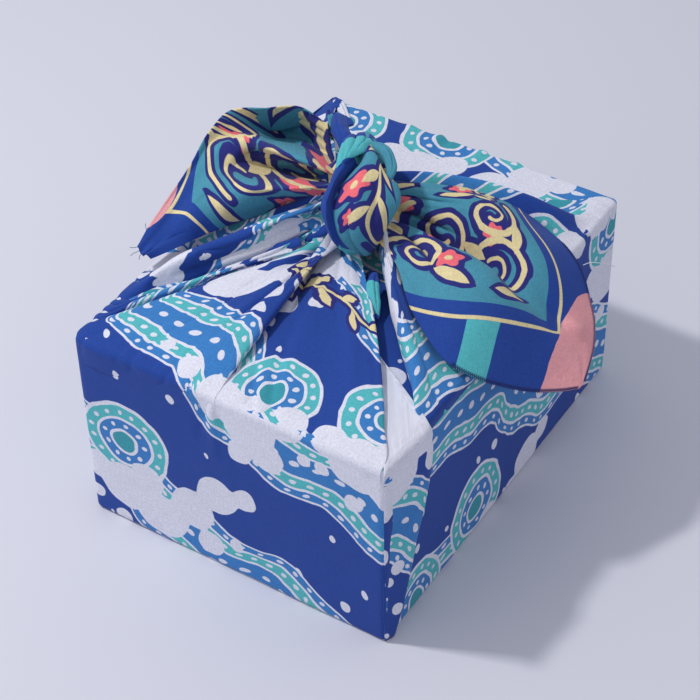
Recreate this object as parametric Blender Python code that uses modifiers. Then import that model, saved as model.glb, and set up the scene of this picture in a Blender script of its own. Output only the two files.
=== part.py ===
"""A box-shaped carton wrapped in one square furoshiki cloth.

The carton stands on the middle of the cloth. The front and back corners of the cloth are
folded over its top, and the left and right corners are drawn up over them and tied in a
square knot, whose two free ends open into ears. Lengths are in millimetres and are
scaled to metres as the meshes are made. X runs along the front, Y to the back, Z up, and
the origin is the middle of the underside.
"""
import math
from collections import namedtuple

import bmesh
import bpy
import numpy as np

MM = 0.001

# Driving dimensions, outside the cloth.
WIDTH = 174.0  # along the front, X
DEPTH = 230.0  # front to back, Y
HEIGHT = 117.0  # Z
SHEET = 1.6  # the cloth's thickness, with its own slackness
CARTON_GAP = 0.4  # between the cloth and the carton
EDGE_RADIUS = 3.0  # how round the cloth goes over the carton's edges
PINCH_X = -9.0  # where the left half of the cloth leaves the front top edge

RIGHT = WIDTH / 2
BACK = DEPTH / 2
LEFT, FRONT = -RIGHT, -BACK

# The knot is an oval band round the tied bundle. Its bundle lies at this turn from X.
KNOT_TURN = math.radians(31)
KNOT_CENTRE = np.array([-9.0, 17.0, HEIGHT + 29])
KNOT_AXIS = np.array([math.cos(KNOT_TURN), math.sin(KNOT_TURN), 0.0])
KNOT_BACK = np.array([-math.sin(KNOT_TURN), math.cos(KNOT_TURN), 0.0])
UP = np.array([0.0, 0.0, 1.0])
KNOT_HALF_LENGTH = 19.0
KNOT_HALF_DEPTH = 33.0
KNOT_HALF_HEIGHT = 27.0
MOUTH_REACH = 11.0  # from the knot's centre to each mouth, where cloth goes in


# ---------------------------------------------------------------- scene and materials

for old in list(bpy.data.objects):
    bpy.data.objects.remove(old, do_unlink=True)


def new_collection(name):
    group = bpy.data.collections.new(name)
    bpy.context.scene.collection.children.link(group)
    return group


parts = new_collection("furoshiki_wrap")
tools = new_collection("joined_and_cut_shapes")


def finish(name, colour, roughness):
    material = bpy.data.materials.new(name)
    material.use_nodes = True
    shader = material.node_tree.nodes["Principled BSDF"]
    shader.inputs["Base Color"].default_value = (*colour, 1.0)
    shader.inputs["Roughness"].default_value = roughness
    shader.inputs["Metallic"].default_value = 0.0
    return material


printed_cotton = finish("printed_cotton", (0.035, 0.07, 0.30), 0.85)
plain_board = finish("plain_board", (0.60, 0.50, 0.36), 0.80)


def add_object(name, bm, group, material=None):
    bmesh.ops.recalc_face_normals(bm, faces=bm.faces)
    mesh = bpy.data.meshes.new(name)
    bm.to_mesh(mesh)
    bm.free()
    obj = bpy.data.objects.new(name, mesh)
    group.objects.link(obj)
    if material:
        mesh.materials.append(material)
    if group is tools:
        obj.hide_render = True
        obj.display_type = "WIRE"
    return obj


def block(name, low, high, group, material=None):
    """A plain box between two corners."""
    bm = bmesh.new()
    bmesh.ops.create_cube(bm, size=1.0)
    for vert in bm.verts:
        share = np.array(vert.co) + 0.5
        vert.co = (np.array(low) * (1 - share) + np.array(high) * share) * MM
    return add_object(name, bm, group, material)


# ---------------------------------------------------------------- smooth sheets


def along_curve(points, share):
    """The point at share, 0 to 1, of a smooth curve through evenly counted points."""
    points = np.asarray(points, float)
    place = min(max(share, 0.0), 1.0) * (len(points) - 1)
    i = min(int(place), len(points) - 2)
    t = place - i
    b, c = points[i], points[i + 1]
    a = points[i - 1] if i > 0 else 2 * b - c
    d = points[i + 2] if i + 2 < len(points) else 2 * c - b
    return b + 0.5 * t * (c - a + t * (2 * a - 5 * b + 4 * c - d + t * (3 * (b - c) + d - a)))


def sheet(name, sections, across, along, thickness=SHEET):
    """A sheet of cloth through sections, each a row of the same number of points."""
    columns = list(zip(*sections))
    bm = bmesh.new()
    grid = []
    for i in range(along + 1):
        row = [along_curve(column, i / along) for column in columns]
        grid.append([bm.verts.new(along_curve(row, j / across) * MM) for j in range(across + 1)])
    for lower, upper in zip(grid, grid[1:]):
        for j in range(across):
            bm.faces.new((lower[j], lower[j + 1], upper[j + 1], upper[j]))
    obj = add_object(name, bm, tools)
    solid = obj.modifiers.new("cloth_thickness", "SOLIDIFY")
    solid.thickness = thickness * MM
    solid.offset = 0.0
    return obj


def mouth_point(side, turn, reach):
    """A point round the knot's left (-1) or right (1) mouth, at a turn in degrees."""
    turn = math.radians(turn)
    ring = KNOT_BACK * math.cos(turn) + UP * math.sin(turn)
    return KNOT_CENTRE + KNOT_AXIS * side * MOUTH_REACH + ring * reach


def fold_line(start, end, lift, steps=7):
    """A fold drawn from the carton's edge up to the knot, arched by lift."""
    line = []
    for k in range(steps):
        share = k / (steps - 1)
        point = start + (end - start) * share
        point[2] = start[2] + (end[2] - start[2]) * share**2.2
        point[2] += lift * math.sin(math.pi * min(1.0, share * 1.05 + 0.02)) ** 0.7
        line.append(point)
    return line


# ---------------------------------------------------------------- carton

clear = SHEET + CARTON_GAP
block(
    "carton",
    (LEFT + clear, FRONT + clear, clear),
    (RIGHT - clear, BACK - clear, HEIGHT - clear),
    parts,
    plain_board,
)


# ---------------------------------------------------------------- cloth round the carton


def stations(half, inner):
    """Where the wrapped faces are divided: close together round each edge."""
    edge = [half, half - 0.42 * EDGE_RADIUS, half - EDGE_RADIUS]
    return [-value for value in edge] + list(inner) + edge[::-1]


PINCH_WIDTH = 8.0  # from the pinch's hollow to the ridge on each side of it
PINCH_DEPTH = 0.9
PINCH_STAND = 1.8
ACROSS_FACE = (-58, -34, PINCH_X - PINCH_WIDTH, PINCH_X, PINCH_X + PINCH_WIDTH, 24, 48, 68)
DEEP_FACE = (-86, -62, -38, -13, 13, 38, 62, 86)
UP_FACE = (-46, -34, -22, -9, 4, 17, 30, 44)

bm = bmesh.new()
bmesh.ops.create_cube(bm, size=2.0)
divisions = len(ACROSS_FACE) + 5
bmesh.ops.subdivide_edges(bm, edges=bm.edges[:], cuts=divisions - 1, use_grid_fill=True)
halves = np.array([RIGHT, BACK, HEIGHT / 2])
tables = [
    stations(half, inner)
    for half, inner in zip(halves, (ACROSS_FACE, DEEP_FACE, UP_FACE))
]
for vert in bm.verts:
    counts = [round((value + 1) / 2 * divisions) for value in vert.co]
    flat = np.array([table[count] for table, count in zip(tables, counts)])
    core = np.clip(flat, EDGE_RADIUS - halves, halves - EDGE_RADIUS)
    outward = (flat - core) / max(np.linalg.norm(flat - core), 1e-9)
    place = core + outward * EDGE_RADIUS + (0, 0, HEIGHT / 2)
    if place[1] < FRONT + 0.5 * EDGE_RADIUS:
        from_pinch = abs(place[0] - PINCH_X) / PINCH_WIDTH
        fading = max(0.0, (place[2] - 0.3 * HEIGHT) / (0.7 * HEIGHT))
        place[1] -= PINCH_STAND * math.exp(-((from_pinch - 1) ** 2) * 4) * fading
        place[1] += PINCH_DEPTH * math.exp(-(from_pinch**2) * 4) * fading
    vert.co = place * MM
cloth = add_object("cloth", bm, parts, printed_cotton)


# ---------------------------------------------------------------- cloth drawn up to the knot

Fold = namedtuple("Fold", "edge turn reach lift")

# Left half, a row for each ridge or hollow. edge: mm along the front top edge from the
# pinch, round the front left corner and back along the left top edge. turn and reach:
# where the fold goes into the knot's left mouth. lift: how far it stands up half way.
LEFT_FOLDS = (
    Fold(0, 222, 22, 3.5),
    Fold(20, 212, 20, 5.5),
    Fold(45, 202, 18, 4.0),
    Fold(77, 194, 17, 5.0),
    Fold(94, 187, 15, 2.5),
    Fold(103, 178, 15, 9.0),
    Fold(113, 165, 11, 2.5),
    Fold(124, 150, 14, 12.0),
    Fold(146, 130, 10, 3.5),
    Fold(172, 110, 11, 6.0),
    Fold(200, 90, 10, 3.0),
    Fold(230, 60, 12, 6.0),
    Fold(258, 30, 12, 3.0),
    Fold(282, 0, 16, 6.0),
    Fold(306, -25, 20, 2.5),
)
# Right half, from the front to the back along the right top edge.
RIGHT_FOLDS = (
    Fold(37, 222, 26, 3.0),
    Fold(44, 214, 27, 11.0),
    Fold(58, 200, 20, 10.0),
    Fold(78, 190, 14, 3.0),
    Fold(110, 215, 8, 2.5),
    Fold(150, 300, 8, 2.5),
    Fold(185, 345, 12, 3.0),
    Fold(203, 0, 18, 9.0),
    Fold(216, -12, 22, 7.0),
    Fold(228, -24, 25, 2.5),
)
SEAT = 1.2  # how far a drawn-up sheet starts inside the cloth of the edge


def left_edge_point(distance):
    along_front = PINCH_X - LEFT
    if distance < along_front:
        return np.array([PINCH_X - distance, FRONT + SEAT, HEIGHT - SEAT])
    back = min(distance - along_front, DEPTH - 2 * SEAT)
    return np.array([LEFT + SEAT, FRONT + SEAT + back, HEIGHT - SEAT])


def right_edge_point(distance):
    return np.array([RIGHT - SEAT, FRONT + distance, HEIGHT - SEAT])


def fan(name, folds, edge_point, side, across):
    lines = [
        fold_line(edge_point(f.edge), mouth_point(side, f.turn, f.reach), f.lift)
        for f in folds
    ]
    return sheet(name, list(zip(*lines)), across, along=12)


left_fan = fan("left_fan", LEFT_FOLDS, left_edge_point, -1, across=42)
right_fan = fan("right_fan", RIGHT_FOLDS, right_edge_point, 1, across=30)

# The front corner of the cloth, folded back over the top and in under the knot.
FlapLine = namedtuple("FlapLine", "edge end lift")
FRONT_FLAP = (
    FlapLine(-34, -28, 1.0),
    FlapLine(-9, -18, 2.0),
    FlapLine(18, -8, 4.0),
    FlapLine(44, 0, 3.0),
    FlapLine(66, 5, 4.5),
    FlapLine(84, 9, 2.5),
)
FLAP_END_Y = 2.0
FLAP_END_RISE = 8.0
flap_lines = [
    fold_line(
        np.array([f.edge, FRONT + SEAT, HEIGHT - SEAT]),
        np.array([f.end, FLAP_END_Y, HEIGHT + FLAP_END_RISE]),
        f.lift,
    )
    for f in FRONT_FLAP
]
front_flap = sheet("front_flap", list(zip(*flap_lines)), across=16, along=10)


# ---------------------------------------------------------------- corner folds on the sides

# A row for each height: how far the folded-over corner reaches along the face, and how
# far its rounded fold stands off it.
CornerFold = namedtuple("CornerFold", "height reach bulge")
CORNER_FOLD = (
    CornerFold(0.5, 6, 1.6),
    CornerFold(18, 13, 3.0),
    CornerFold(36, 18, 3.6),
    CornerFold(56, 24, 4.2),
    CornerFold(74, 30, 4.8),
    CornerFold(92, 35, 4.6),
    CornerFold(108, 37, 3.2),
    CornerFold(HEIGHT, 36, 1.6),
)
TUCK_END = (44.0, -52.0)  # where the folded-over corner runs out on the top


def corner_fold(name, rows, turned, tuck):
    """The cloth folded round a vertical edge: at the front right, or turned half round."""
    sections = []
    for row in rows:
        start = np.array([RIGHT - SEAT, FRONT + SEAT, row.height])
        middle = np.array([RIGHT + 0.6 * row.bulge, FRONT + 0.5 * row.reach, row.height])
        crest = np.array([RIGHT + row.bulge, FRONT + 0.85 * row.reach, row.height])
        fold = np.array([RIGHT + 0.62 * row.bulge, FRONT + row.reach, row.height])
        sections.append([start, middle, crest, fold])
    top_row = sections[-1]
    if tuck:
        for share in (0.35, 0.7, 0.96):
            row = [p + (np.array([*TUCK_END, HEIGHT + 2.2]) - p) * share for p in top_row]
            for point in row:
                point[2] = HEIGHT + 2.2 * min(1.0, 0.4 + share)
            sections.append(row)
    if turned:
        sections = [[p * (-1, -1, 1) for p in section] for section in sections]
    return sheet(name, sections, across=6, along=14)


front_corner = corner_fold("front_corner", CORNER_FOLD, turned=False, tuck=True)
back_corner = corner_fold("back_corner", CORNER_FOLD, turned=True, tuck=False)


# ---------------------------------------------------------------- ears

# A row for each section, from the knot to the cloth's corner.
EarSection = namedtuple("EarSection", "front crease back front_rise back_rise")
RIGHT_EAR = (
    EarSection((3, 6, 136), (1, 18, 141), (-2, 28, 150), 0, 0),
    EarSection((28, -8, 135), (27, 16, 135), (21, 44, 146), 5, 7),
    EarSection((51, -29, 132), (47, 12, 129), (43, 63, 136), 7, 10),
    EarSection((71, -44, 129), (67, 10, 124), (67, 65, 127), 7, 9),
    EarSection((91, -43, 119), (88, 13, 120), (93, 58, 117), 4, 5),
    EarSection((107, -24, 103), (104, 20, 107), (108, 46, 103), 2, 3),
    EarSection((118, -8, 95), (116, 18, 98), (118, 30, 95), 1, 1),
    EarSection((124, 3, 91), (124, 6, 90.5), (124, 9, 91), 0, 0),
)
right_sections = []
for row in RIGHT_EAR:
    front, crease, back = (np.array(point, float) for point in row[:3])
    front_ridge = (front + crease) / 2 + UP * row.front_rise
    back_ridge = (crease + back) / 2 + UP * row.back_rise
    right_sections.append([front, front_ridge, crease, back_ridge, back])
right_ear = sheet("right_ear", right_sections, across=14, along=18)

RolledSection = namedtuple("RolledSection", "front side crease ridge back")
LEFT_EAR = (
    RolledSection((-15, 8, 141), (-13, 11, 154), (-12, 20, 155), (-15, 28, 162), (-19, 32, 146)),
    RolledSection((-38, -1, 136), (-38, 6, 157), (-44, 12, 153), (-55, 40, 164), (-51, 50, 140)),
    RolledSection((-52, -7, 133), (-55, 1, 157), (-65, 15, 152), (-73, 35, 161), (-69, 44, 136)),
    RolledSection((-63, -19, 131), (-67, -9, 151), (-80, 13, 152), (-89, 27, 157), (-83, 35, 132)),
    RolledSection((-69, -31, 129), (-75, -20, 146), (-86, -5, 149), (-92, 6, 152), (-89, 16, 130)),
    RolledSection((-74, -44, 128), (-79, -36, 139), (-84, -28, 143), (-87, -18, 146), (-87, -8, 129)),
    RolledSection((-79, -53, 128), (-83, -48, 133), (-85, -43, 136), (-86, -37, 138), (-87, -30, 129)),
    RolledSection((-87, -58, 129), (-88, -57.5, 129.6), (-89, -57, 130), (-90, -56, 130), (-90, -55, 129)),
)
left_ear = sheet("left_ear", LEFT_EAR, across=16, along=16)


# ---------------------------------------------------------------- knot


def lump(name, centre, axes, radii, shape=None, rings=18, ribs=26):
    """A rounded mass of pulled cloth: a ball stretched along three axes."""
    bm = bmesh.new()
    bmesh.ops.create_uvsphere(bm, u_segments=ribs, v_segments=rings, radius=1.0)
    for vert in bm.verts:
        round_axis = math.hypot(vert.co.x, vert.co.y)
        if shape and round_axis > 1e-6:
            turn = math.degrees(math.atan2(vert.co.y, vert.co.x))
            radius = shape(vert.co.z, turn) / round_axis
            vert.co.x *= radius
            vert.co.y *= radius
        place = sum(axis * radius * value for axis, radius, value in zip(axes, radii, vert.co))
        vert.co = (np.array(centre) + place) * MM
    return add_object(name, bm, tools)


knot_axes = (KNOT_BACK, UP, KNOT_AXIS)
BAND_FLATNESS = 2.7  # how square the band is from edge to edge: 2 is a plain ball
# Hollows that run round the band. side: from its left (-1) to its right (1) edge.
# start and end: degrees round it, from its back over the top. depth: share of its radius.
BandHollow = namedtuple("BandHollow", "side width start end depth")
BAND_HOLLOWS = (
    BandHollow(-0.42, 0.16, 95, 215, 0.10),
    BandHollow(0.35, 0.18, 20, 120, 0.07),
)


def band_shape(along, turn):
    """The band's radius at a place from its left to its right edge, as a share."""
    radius = (1 - abs(along) ** BAND_FLATNESS) ** (1 / BAND_FLATNESS)
    for hollow in BAND_HOLLOWS:
        middle = (hollow.start + hollow.end) / 2
        off = ((turn - middle + 180) % 360 - 180) / (hollow.end - hollow.start) * 2
        beside = (along - hollow.side) / hollow.width
        radius *= 1 - hollow.depth * math.exp(-(beside**2) - off**4)
    return radius


band = lump(
    "knot_band",
    KNOT_CENTRE,
    knot_axes,
    (KNOT_HALF_DEPTH, KNOT_HALF_HEIGHT, KNOT_HALF_LENGTH),
    band_shape,
)
second_bight = lump("second_bight", (-32, 40, 151), knot_axes, (15, 15, 13), None, 10, 16)


# ---------------------------------------------------------------- one cloth


def combine(target, other, operation):
    modifier = target.modifiers.new(f"{operation}_{other.name}", "BOOLEAN")
    modifier.operation = operation
    modifier.object = other


for drawn_up in (
    left_fan,
    right_fan,
    front_flap,
    front_corner,
    back_corner,
    band,
    second_bight,
    right_ear,
    left_ear,
):
    combine(cloth, drawn_up, "UNION")

inside = block(
    "room_for_carton",
    (LEFT + SHEET, FRONT + SHEET, SHEET),
    (RIGHT - SHEET, BACK - SHEET, HEIGHT - SHEET),
    tools,
)
combine(cloth, inside, "DIFFERENCE")
# Under the right half the flaps don't meet, so the wrap is open to the carton there.
parting = block(
    "parting_of_the_flaps",
    (38, 0, HEIGHT - 2 * SHEET),
    (68, 52, HEIGHT + 0.4),
    tools,
)
combine(cloth, parting, "DIFFERENCE")
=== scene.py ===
"""A carton wrapped in a printed cotton furoshiki, with the cloth's two corners tied on top.

Tables are in millimetres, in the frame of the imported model: X along the front, Y to the
back, Z up, from the middle of the underside.
"""

import math
from collections import namedtuple

import bmesh
import bpy
import numpy as np
from mathutils import Matrix, Vector, noise


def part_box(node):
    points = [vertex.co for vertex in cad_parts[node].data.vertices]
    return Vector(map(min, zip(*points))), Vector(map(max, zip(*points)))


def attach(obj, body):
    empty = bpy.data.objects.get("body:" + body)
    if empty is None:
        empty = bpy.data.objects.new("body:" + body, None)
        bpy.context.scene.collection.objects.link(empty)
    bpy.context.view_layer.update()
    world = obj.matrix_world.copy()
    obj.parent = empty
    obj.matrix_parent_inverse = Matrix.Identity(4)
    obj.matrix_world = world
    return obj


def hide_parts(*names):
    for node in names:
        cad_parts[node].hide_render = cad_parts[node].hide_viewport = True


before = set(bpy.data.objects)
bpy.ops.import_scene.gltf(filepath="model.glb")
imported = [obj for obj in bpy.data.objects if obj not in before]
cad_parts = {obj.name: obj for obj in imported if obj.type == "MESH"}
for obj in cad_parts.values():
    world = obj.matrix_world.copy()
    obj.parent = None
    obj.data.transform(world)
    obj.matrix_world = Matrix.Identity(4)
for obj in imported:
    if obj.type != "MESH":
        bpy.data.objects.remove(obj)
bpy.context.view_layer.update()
MM = 0.001


# ---------------------------------------------------------------- the view
# The camera stands to the right of the front, looking down on the wrap by 42 degrees.
# It has a long lens and a square picture, and it is turned a little about its own axis.

VIEW_FROM = Vector((0.4210, -0.6554, 0.7626))
VIEW_AHEAD = Vector((-0.404366, 0.622949, -0.669644))
VIEW_RIGHT = Vector((0.845733, 0.533409, -0.014484))
LENS = 105.18

camera = bpy.data.objects.new("camera", bpy.data.cameras.new("camera"))
camera.data.sensor_width = 36.0
camera.data.lens = LENS
view_up = VIEW_RIGHT.cross(VIEW_AHEAD)
turned = Matrix((VIEW_RIGHT, view_up, -VIEW_AHEAD)).transposed()
camera.matrix_world = Matrix.Translation(VIEW_FROM) @ turned.to_4x4()
bpy.context.scene.collection.objects.link(camera)
bpy.context.scene.camera = camera
bpy.context.scene.view_settings.view_transform = "Standard"


# ---------------------------------------------------------------- carton
# A plain folded carton of uncoated paperboard. It carries the cloth and is hidden by it.
# Its own solid stays, with the board's fibres, flecks and slight unevenness.


class Signal:
    """A node's output, which expressions combine with numbers and with other outputs."""

    def __init__(self, tree, socket=None):
        self.tree = tree
        self.socket = socket

    def node(self, kind, settings=None, sockets=None, output=0):
        """Adds a node: its type, its settings, the values or links of its sockets."""
        made = self.tree.nodes.new(kind)
        for name, value in (settings or {}).items():
            if name == "stops":
                ramp = made.color_ramp
                while len(ramp.elements) < len(value):
                    ramp.elements.new(1.0)
                for element, (place, colour) in zip(ramp.elements, value):
                    element.position = place
                    element.color = (*colour, 1.0)
            elif name == "ramp":
                made.color_ramp.interpolation = value
            else:
                setattr(made, name, value)
        for name, value in (sockets or {}).items():
            if isinstance(value, Signal):
                self.tree.links.new(value.socket, made.inputs[name])
            else:
                made.inputs[name].default_value = value
        return Signal(self.tree, made.outputs[output])

    def math(self, operation, *others, **settings):
        """A Math node on this and on other signals or numbers."""
        sockets = dict(enumerate((self, *others)))
        return self.node("ShaderNodeMath", {"operation": operation, **settings}, sockets)

    def __add__(self, other):
        return self.math("ADD", other)

    def __sub__(self, other):
        return self.math("SUBTRACT", other)

    def __rsub__(self, other):
        return self.node("ShaderNodeMath", {"operation": "SUBTRACT"}, {0: other, 1: self})

    def __mul__(self, other):
        return self.math("MULTIPLY", other)

    def __truediv__(self, other):
        return self.math("DIVIDE", other)

    def __abs__(self):
        return self.math("ABSOLUTE")

    __radd__ = __add__
    __rmul__ = __mul__

    def below(self, edge, softness):
        """1 where this is below the edge, 0 above it, with a soft step between."""
        return ((edge - self) / softness + 0.5).math("MULTIPLY", 1.0, use_clamp=True)

    def tint(self, under, over):
        """Lays one colour over another where this mask is 1."""
        sockets = {0: self, 6: under, 7: over}
        return self.node("ShaderNodeMix", {"data_type": "RGBA"}, sockets, output=2)

    def texture(self, kind, vector, settings=None, output=0, **sockets):
        """A texture read at a vector, whose sockets are given by name."""
        named = {name.replace("_", " "): value for name, value in sockets.items()}
        return self.node(kind, settings, {"Vector": vector, **named}, output)


def new_material(name):
    """A material's node tree to build on, and its Principled shader."""
    made = bpy.data.materials.new(name)
    made.use_nodes = True
    return made, Signal(made.node_tree), made.node_tree.nodes["Principled BSDF"]


def srgb(red, green, blue):
    """A colour given as 0 to 255, for a colour socket."""
    shares = [value / 255 for value in (red, green, blue)]
    linear = [s / 12.92 if s <= 0.04045 else ((s + 0.055) / 1.055) ** 2.4 for s in shares]
    return (*linear, 1.0)


FIBRE_DARK = srgb(186, 160, 120)
FIBRE_LIGHT = srgb(214, 190, 150)
FLECK = srgb(140, 112, 78)
FIBRE_SCALE = 420.0  # fibres and flecks in a metre
FLECK_SCALE = 300.0
FLECK_SIZE = 0.14
board, wire, shader = new_material("plain_board")
place = wire.node("ShaderNodeTexCoord", output=3)
fibres = wire.texture("ShaderNodeTexNoise", place, Scale=FIBRE_SCALE, Detail=5.0, Roughness=0.7)
flecks = wire.texture("ShaderNodeTexVoronoi", place, Scale=FLECK_SCALE)
pulp = fibres.tint(FIBRE_DARK, FIBRE_LIGHT)
pulp = flecks.below(FLECK_SIZE, softness=0.05).tint(pulp, FLECK)
board.node_tree.links.new(pulp.socket, shader.inputs["Base Color"])
board.node_tree.links.new((fibres * 0.2 + 0.72).socket, shader.inputs["Roughness"])
rough = wire.node("ShaderNodeBump", None, {"Strength": 0.25, "Distance": 0.0002, "Height": fibres})
board.node_tree.links.new(rough.socket, shader.inputs["Normal"])
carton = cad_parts["carton"]
carton.data.materials.clear()
carton.data.materials.append(board)


# ---------------------------------------------------------------- wrapped faces
# The middle of the cloth, drawn tight round the carton: a plain-weave cotton, screen
# printed on its outside. It pulls in under the first fold on the front, and has short
# creases where the back corner is pulled over the back edge.

WALL = 2.0  # from the carton's faces to the outside of the cloth
carton_low, carton_high = (np.array(corner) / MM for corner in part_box("carton"))
LEFT, FRONT = (carton_low - WALL)[:2]
RIGHT, BACK = (carton_high + WALL)[:2]
HEIGHT = (carton_high + WALL)[2]
EDGE_RADIUS = 3.0
CLOTH = 0.5  # the cloth's thickness, mm

NAVY = srgb(35, 69, 152)
WHITE = srgb(220, 221, 235)
TURQUOISE = srgb(84, 182, 190)
SEA_GREEN = srgb(58, 152, 168)
MID_BLUE = srgb(58, 124, 192)
DARK_OUTLINE = srgb(44, 46, 122)
CREAM = srgb(228, 212, 162)
PRINT_SOFTNESS = 0.35  # how sharply the inks end, mm


def read_print_map(wire, wobble, scale):
    """Where a place lies on the print, in mm, wavering as hand-cut stencils do."""
    flat = wire.node("ShaderNodeUVMap", {"uv_map": "print"})
    flat = flat.node("ShaderNodeVectorMath", {"operation": "SCALE"}, {0: flat, "Scale": 1 / MM})
    waver = wire.texture("ShaderNodeTexNoise", flat, output=1, Scale=scale, Detail=2.0)
    centred = {"operation": "SUBTRACT"}
    waver = wire.node("ShaderNodeVectorMath", centred, {0: waver, 1: (0.5, 0.5, 0.5)})
    widened = {0: waver, 1: (wobble, wobble, 0.0), 2: flat}
    moved = wire.node("ShaderNodeVectorMath", {"operation": "MULTIPLY_ADD"}, widened)
    split = {"Vector": moved}
    x = wire.node("ShaderNodeSeparateXYZ", None, split, 0)
    y = wire.node("ShaderNodeSeparateXYZ", None, split, 1)
    return flat, x, y


def distance(wire, point, x, y):
    """How far a point is from a place in its plane."""
    sockets = {0: point, 1: (x, y, 0.0)}
    return wire.node("ShaderNodeVectorMath", {"operation": "DISTANCE"}, sockets, output=1)


YARNS = 2.2  # unevenness in a mm across the yarns, and along them
SLUBS = 0.16
WEAVE_SCALE = 0.55


def finish_cotton(made, wire, shader, colour, flat):
    """Plain weave: uneven yarns both ways, mottled ink, a matt and slightly fuzzy face."""
    x = wire.node("ShaderNodeSeparateXYZ", None, {"Vector": flat}, 0)
    y = wire.node("ShaderNodeSeparateXYZ", None, {"Vector": flat}, 1)
    warp = wire.node("ShaderNodeCombineXYZ", None, {"X": x * YARNS, "Y": y * SLUBS})
    weft = wire.node("ShaderNodeCombineXYZ", None, {"X": x * SLUBS, "Y": y * YARNS, "Z": 7.0})
    slubs = wire.texture("ShaderNodeTexNoise", warp, Scale=1.0, Detail=2.0)
    slubs = slubs + wire.texture("ShaderNodeTexNoise", weft, Scale=1.0, Detail=2.0)
    grain = wire.texture("ShaderNodeTexNoise", flat, Scale=0.8, Detail=4.0, Roughness=0.75)
    cloudy = wire.texture("ShaderNodeTexNoise", flat, Scale=0.03, Detail=2.0)
    worn = grain * 0.7 + slubs * 0.3 + cloudy * 0.14 + 0.28
    inked = {0: colour, "Scale": worn}
    colour = wire.node("ShaderNodeVectorMath", {"operation": "SCALE"}, inked)
    links = made.node_tree.links
    links.new(colour.socket, shader.inputs["Base Color"])
    links.new((grain * 0.16 + 0.76).socket, shader.inputs["Roughness"])
    bands = {"wave_type": "BANDS", "wave_profile": "SIN"}
    over, under = (
        wire.texture(
            "ShaderNodeTexWave", flat, {**bands, "bands_direction": way}, 1, Scale=WEAVE_SCALE
        )
        for way in "XY"
    )
    height = over * under + slubs * 0.8 + grain
    sockets = {"Strength": 0.35, "Distance": 0.0002, "Height": height}
    links.new(wire.node("ShaderNodeBump", None, sockets).socket, shader.inputs["Normal"])
    shader.inputs["Sheen Weight"].default_value = 0.08
    shader.inputs["Sheen Roughness"].default_value = 0.5
    shader.inputs["Specular IOR Level"].default_value = 0.16


# The field's print: slanting streams of water in stripes with rows of beads, banks of
# cloud and rounds of waves over them in half-drop tiles, and snow on the ground.
SNOW_SCALE = 0.072  # drops in a mm
SNOW_LEAST = 0.08  # the least size of a drop, and how much larger some are
SNOW_MORE = 0.15
STREAM_SLOPE = 0.5
STREAM_PITCH = 103.0
STREAM_START = 4.0
STREAM_HALF = 24.0
Sway = namedtuple("Sway", "size length turn")
STREAM_SWAYS = (Sway(7.0, 118.0, 0.4), Sway(2.6, 47.0, 2.0))
# Stripes of a stream from its middle out, as shares of its half width.
STREAM_STRIPES = (
    (0.0, MID_BLUE),
    (0.32, WHITE),
    (0.39, TURQUOISE),
    (0.66, WHITE),
    (0.73, MID_BLUE),
    (0.94, WHITE),
)
BeadRow = namedtuple("BeadRow", "at pitch radius")
STREAM_BEADS = (BeadRow(0.0, 11.0, 1.9), BeadRow(0.53, 8.0, 1.3), BeadRow(0.835, 9.5, 1.2))
BEAD_STRETCH = 0.6  # below 1 the beads of a stream are longer than wide
TILE_WIDTH = 138.0
TILE_HEIGHT = 172.0
TILE_SHIFT = (22.0, 36.0)
Round = namedtuple("Round", "x y radius")
WAVE_ROUNDS = (
    Round(-40, -22, 26),
    Round(40, 50, 24),
)
CLOUD_ROUNDS = (
    Round(-60, -47, 9),
    Round(-43, -54, 15),
    Round(-21, -63, 15),
    Round(-2, -48, 13),
    Round(14, -31, 12),
    Round(8, -67, 8),
    Round(30, -25, 7),
    Round(-28, -41, 9),
    Round(17, 35, 12),
    Round(36, 28, 16),
    Round(56, 37, 10),
    Round(45, 12, 10),
    Round(29, 7, 7),
    Round(-3, 45, 6.5),
    Round(8, -84, 5),
    Round(-46, -78, 5),
    Round(66, 20, 4),
    Round(-20, 52, 4),
    Round(-62, -66, 4.5),
    Round(24, -60, 4),
)
CLOUD_BLEND = 4.0
# Rings of a round, from its middle out, as shares of its radius.
RINGS = (
    (0.0, SEA_GREEN),
    (0.26, WHITE),
    (0.33, MID_BLUE),
    (0.58, WHITE),
    (0.65, TURQUOISE),
    (0.92, WHITE),
)
RingBeads = namedtuple("RingBeads", "share count")
RING_BEADS = (RingBeads(0.45, 9), RingBeads(0.78, 15))
RING_BEAD_RADIUS = 1.4
VINE_AT = 86.0  # how far above the top edges a leafy vine runs round the field
VINE_SWAY = 3.0
VINE_LENGTH = 44.0
VINE_MIDDLE = 36.0  # how far round the vine's middle is, and how far it reaches each way
VINE_REACH = 62.0
VINE_OUTLINE = 2.6
STEM = 1.0  # half a stem's width
# Leaves of the vine in each half of its wave: where they start, their turn and size.
VineLeaf = namedtuple("VineLeaf", "x y turn length width")
VINE_LEAVES = (
    VineLeaf(-5, 5, 50, 6.5, 2.6),
    VineLeaf(4, -5.5, -42, 6.5, 2.6),
)


def blade(x, y, leaf):
    """How far outside a pointed leaf a place is, in mm."""
    turn = math.radians(leaf.turn)
    dx, dy = x - leaf.x, y - leaf.y
    along = dx * math.cos(turn) + dy * math.sin(turn)
    beside = dy * math.cos(turn) - dx * math.sin(turn)
    return abs(beside) + along * along * (leaf.width / leaf.length**2) - leaf.width


def vine(along, across, length):
    """How far outside a swaying stem with leaves in pairs a place is, in mm."""
    off = across - (along * (2 * math.pi / length)).math("SINE") * VINE_SWAY
    bend = along.math("WRAP", length / 4, -length / 4)
    outside = abs(off) - STEM
    for leaf in VINE_LEAVES:
        outside = outside.math("MINIMUM", blade(bend, off, leaf))
    return outside


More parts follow.
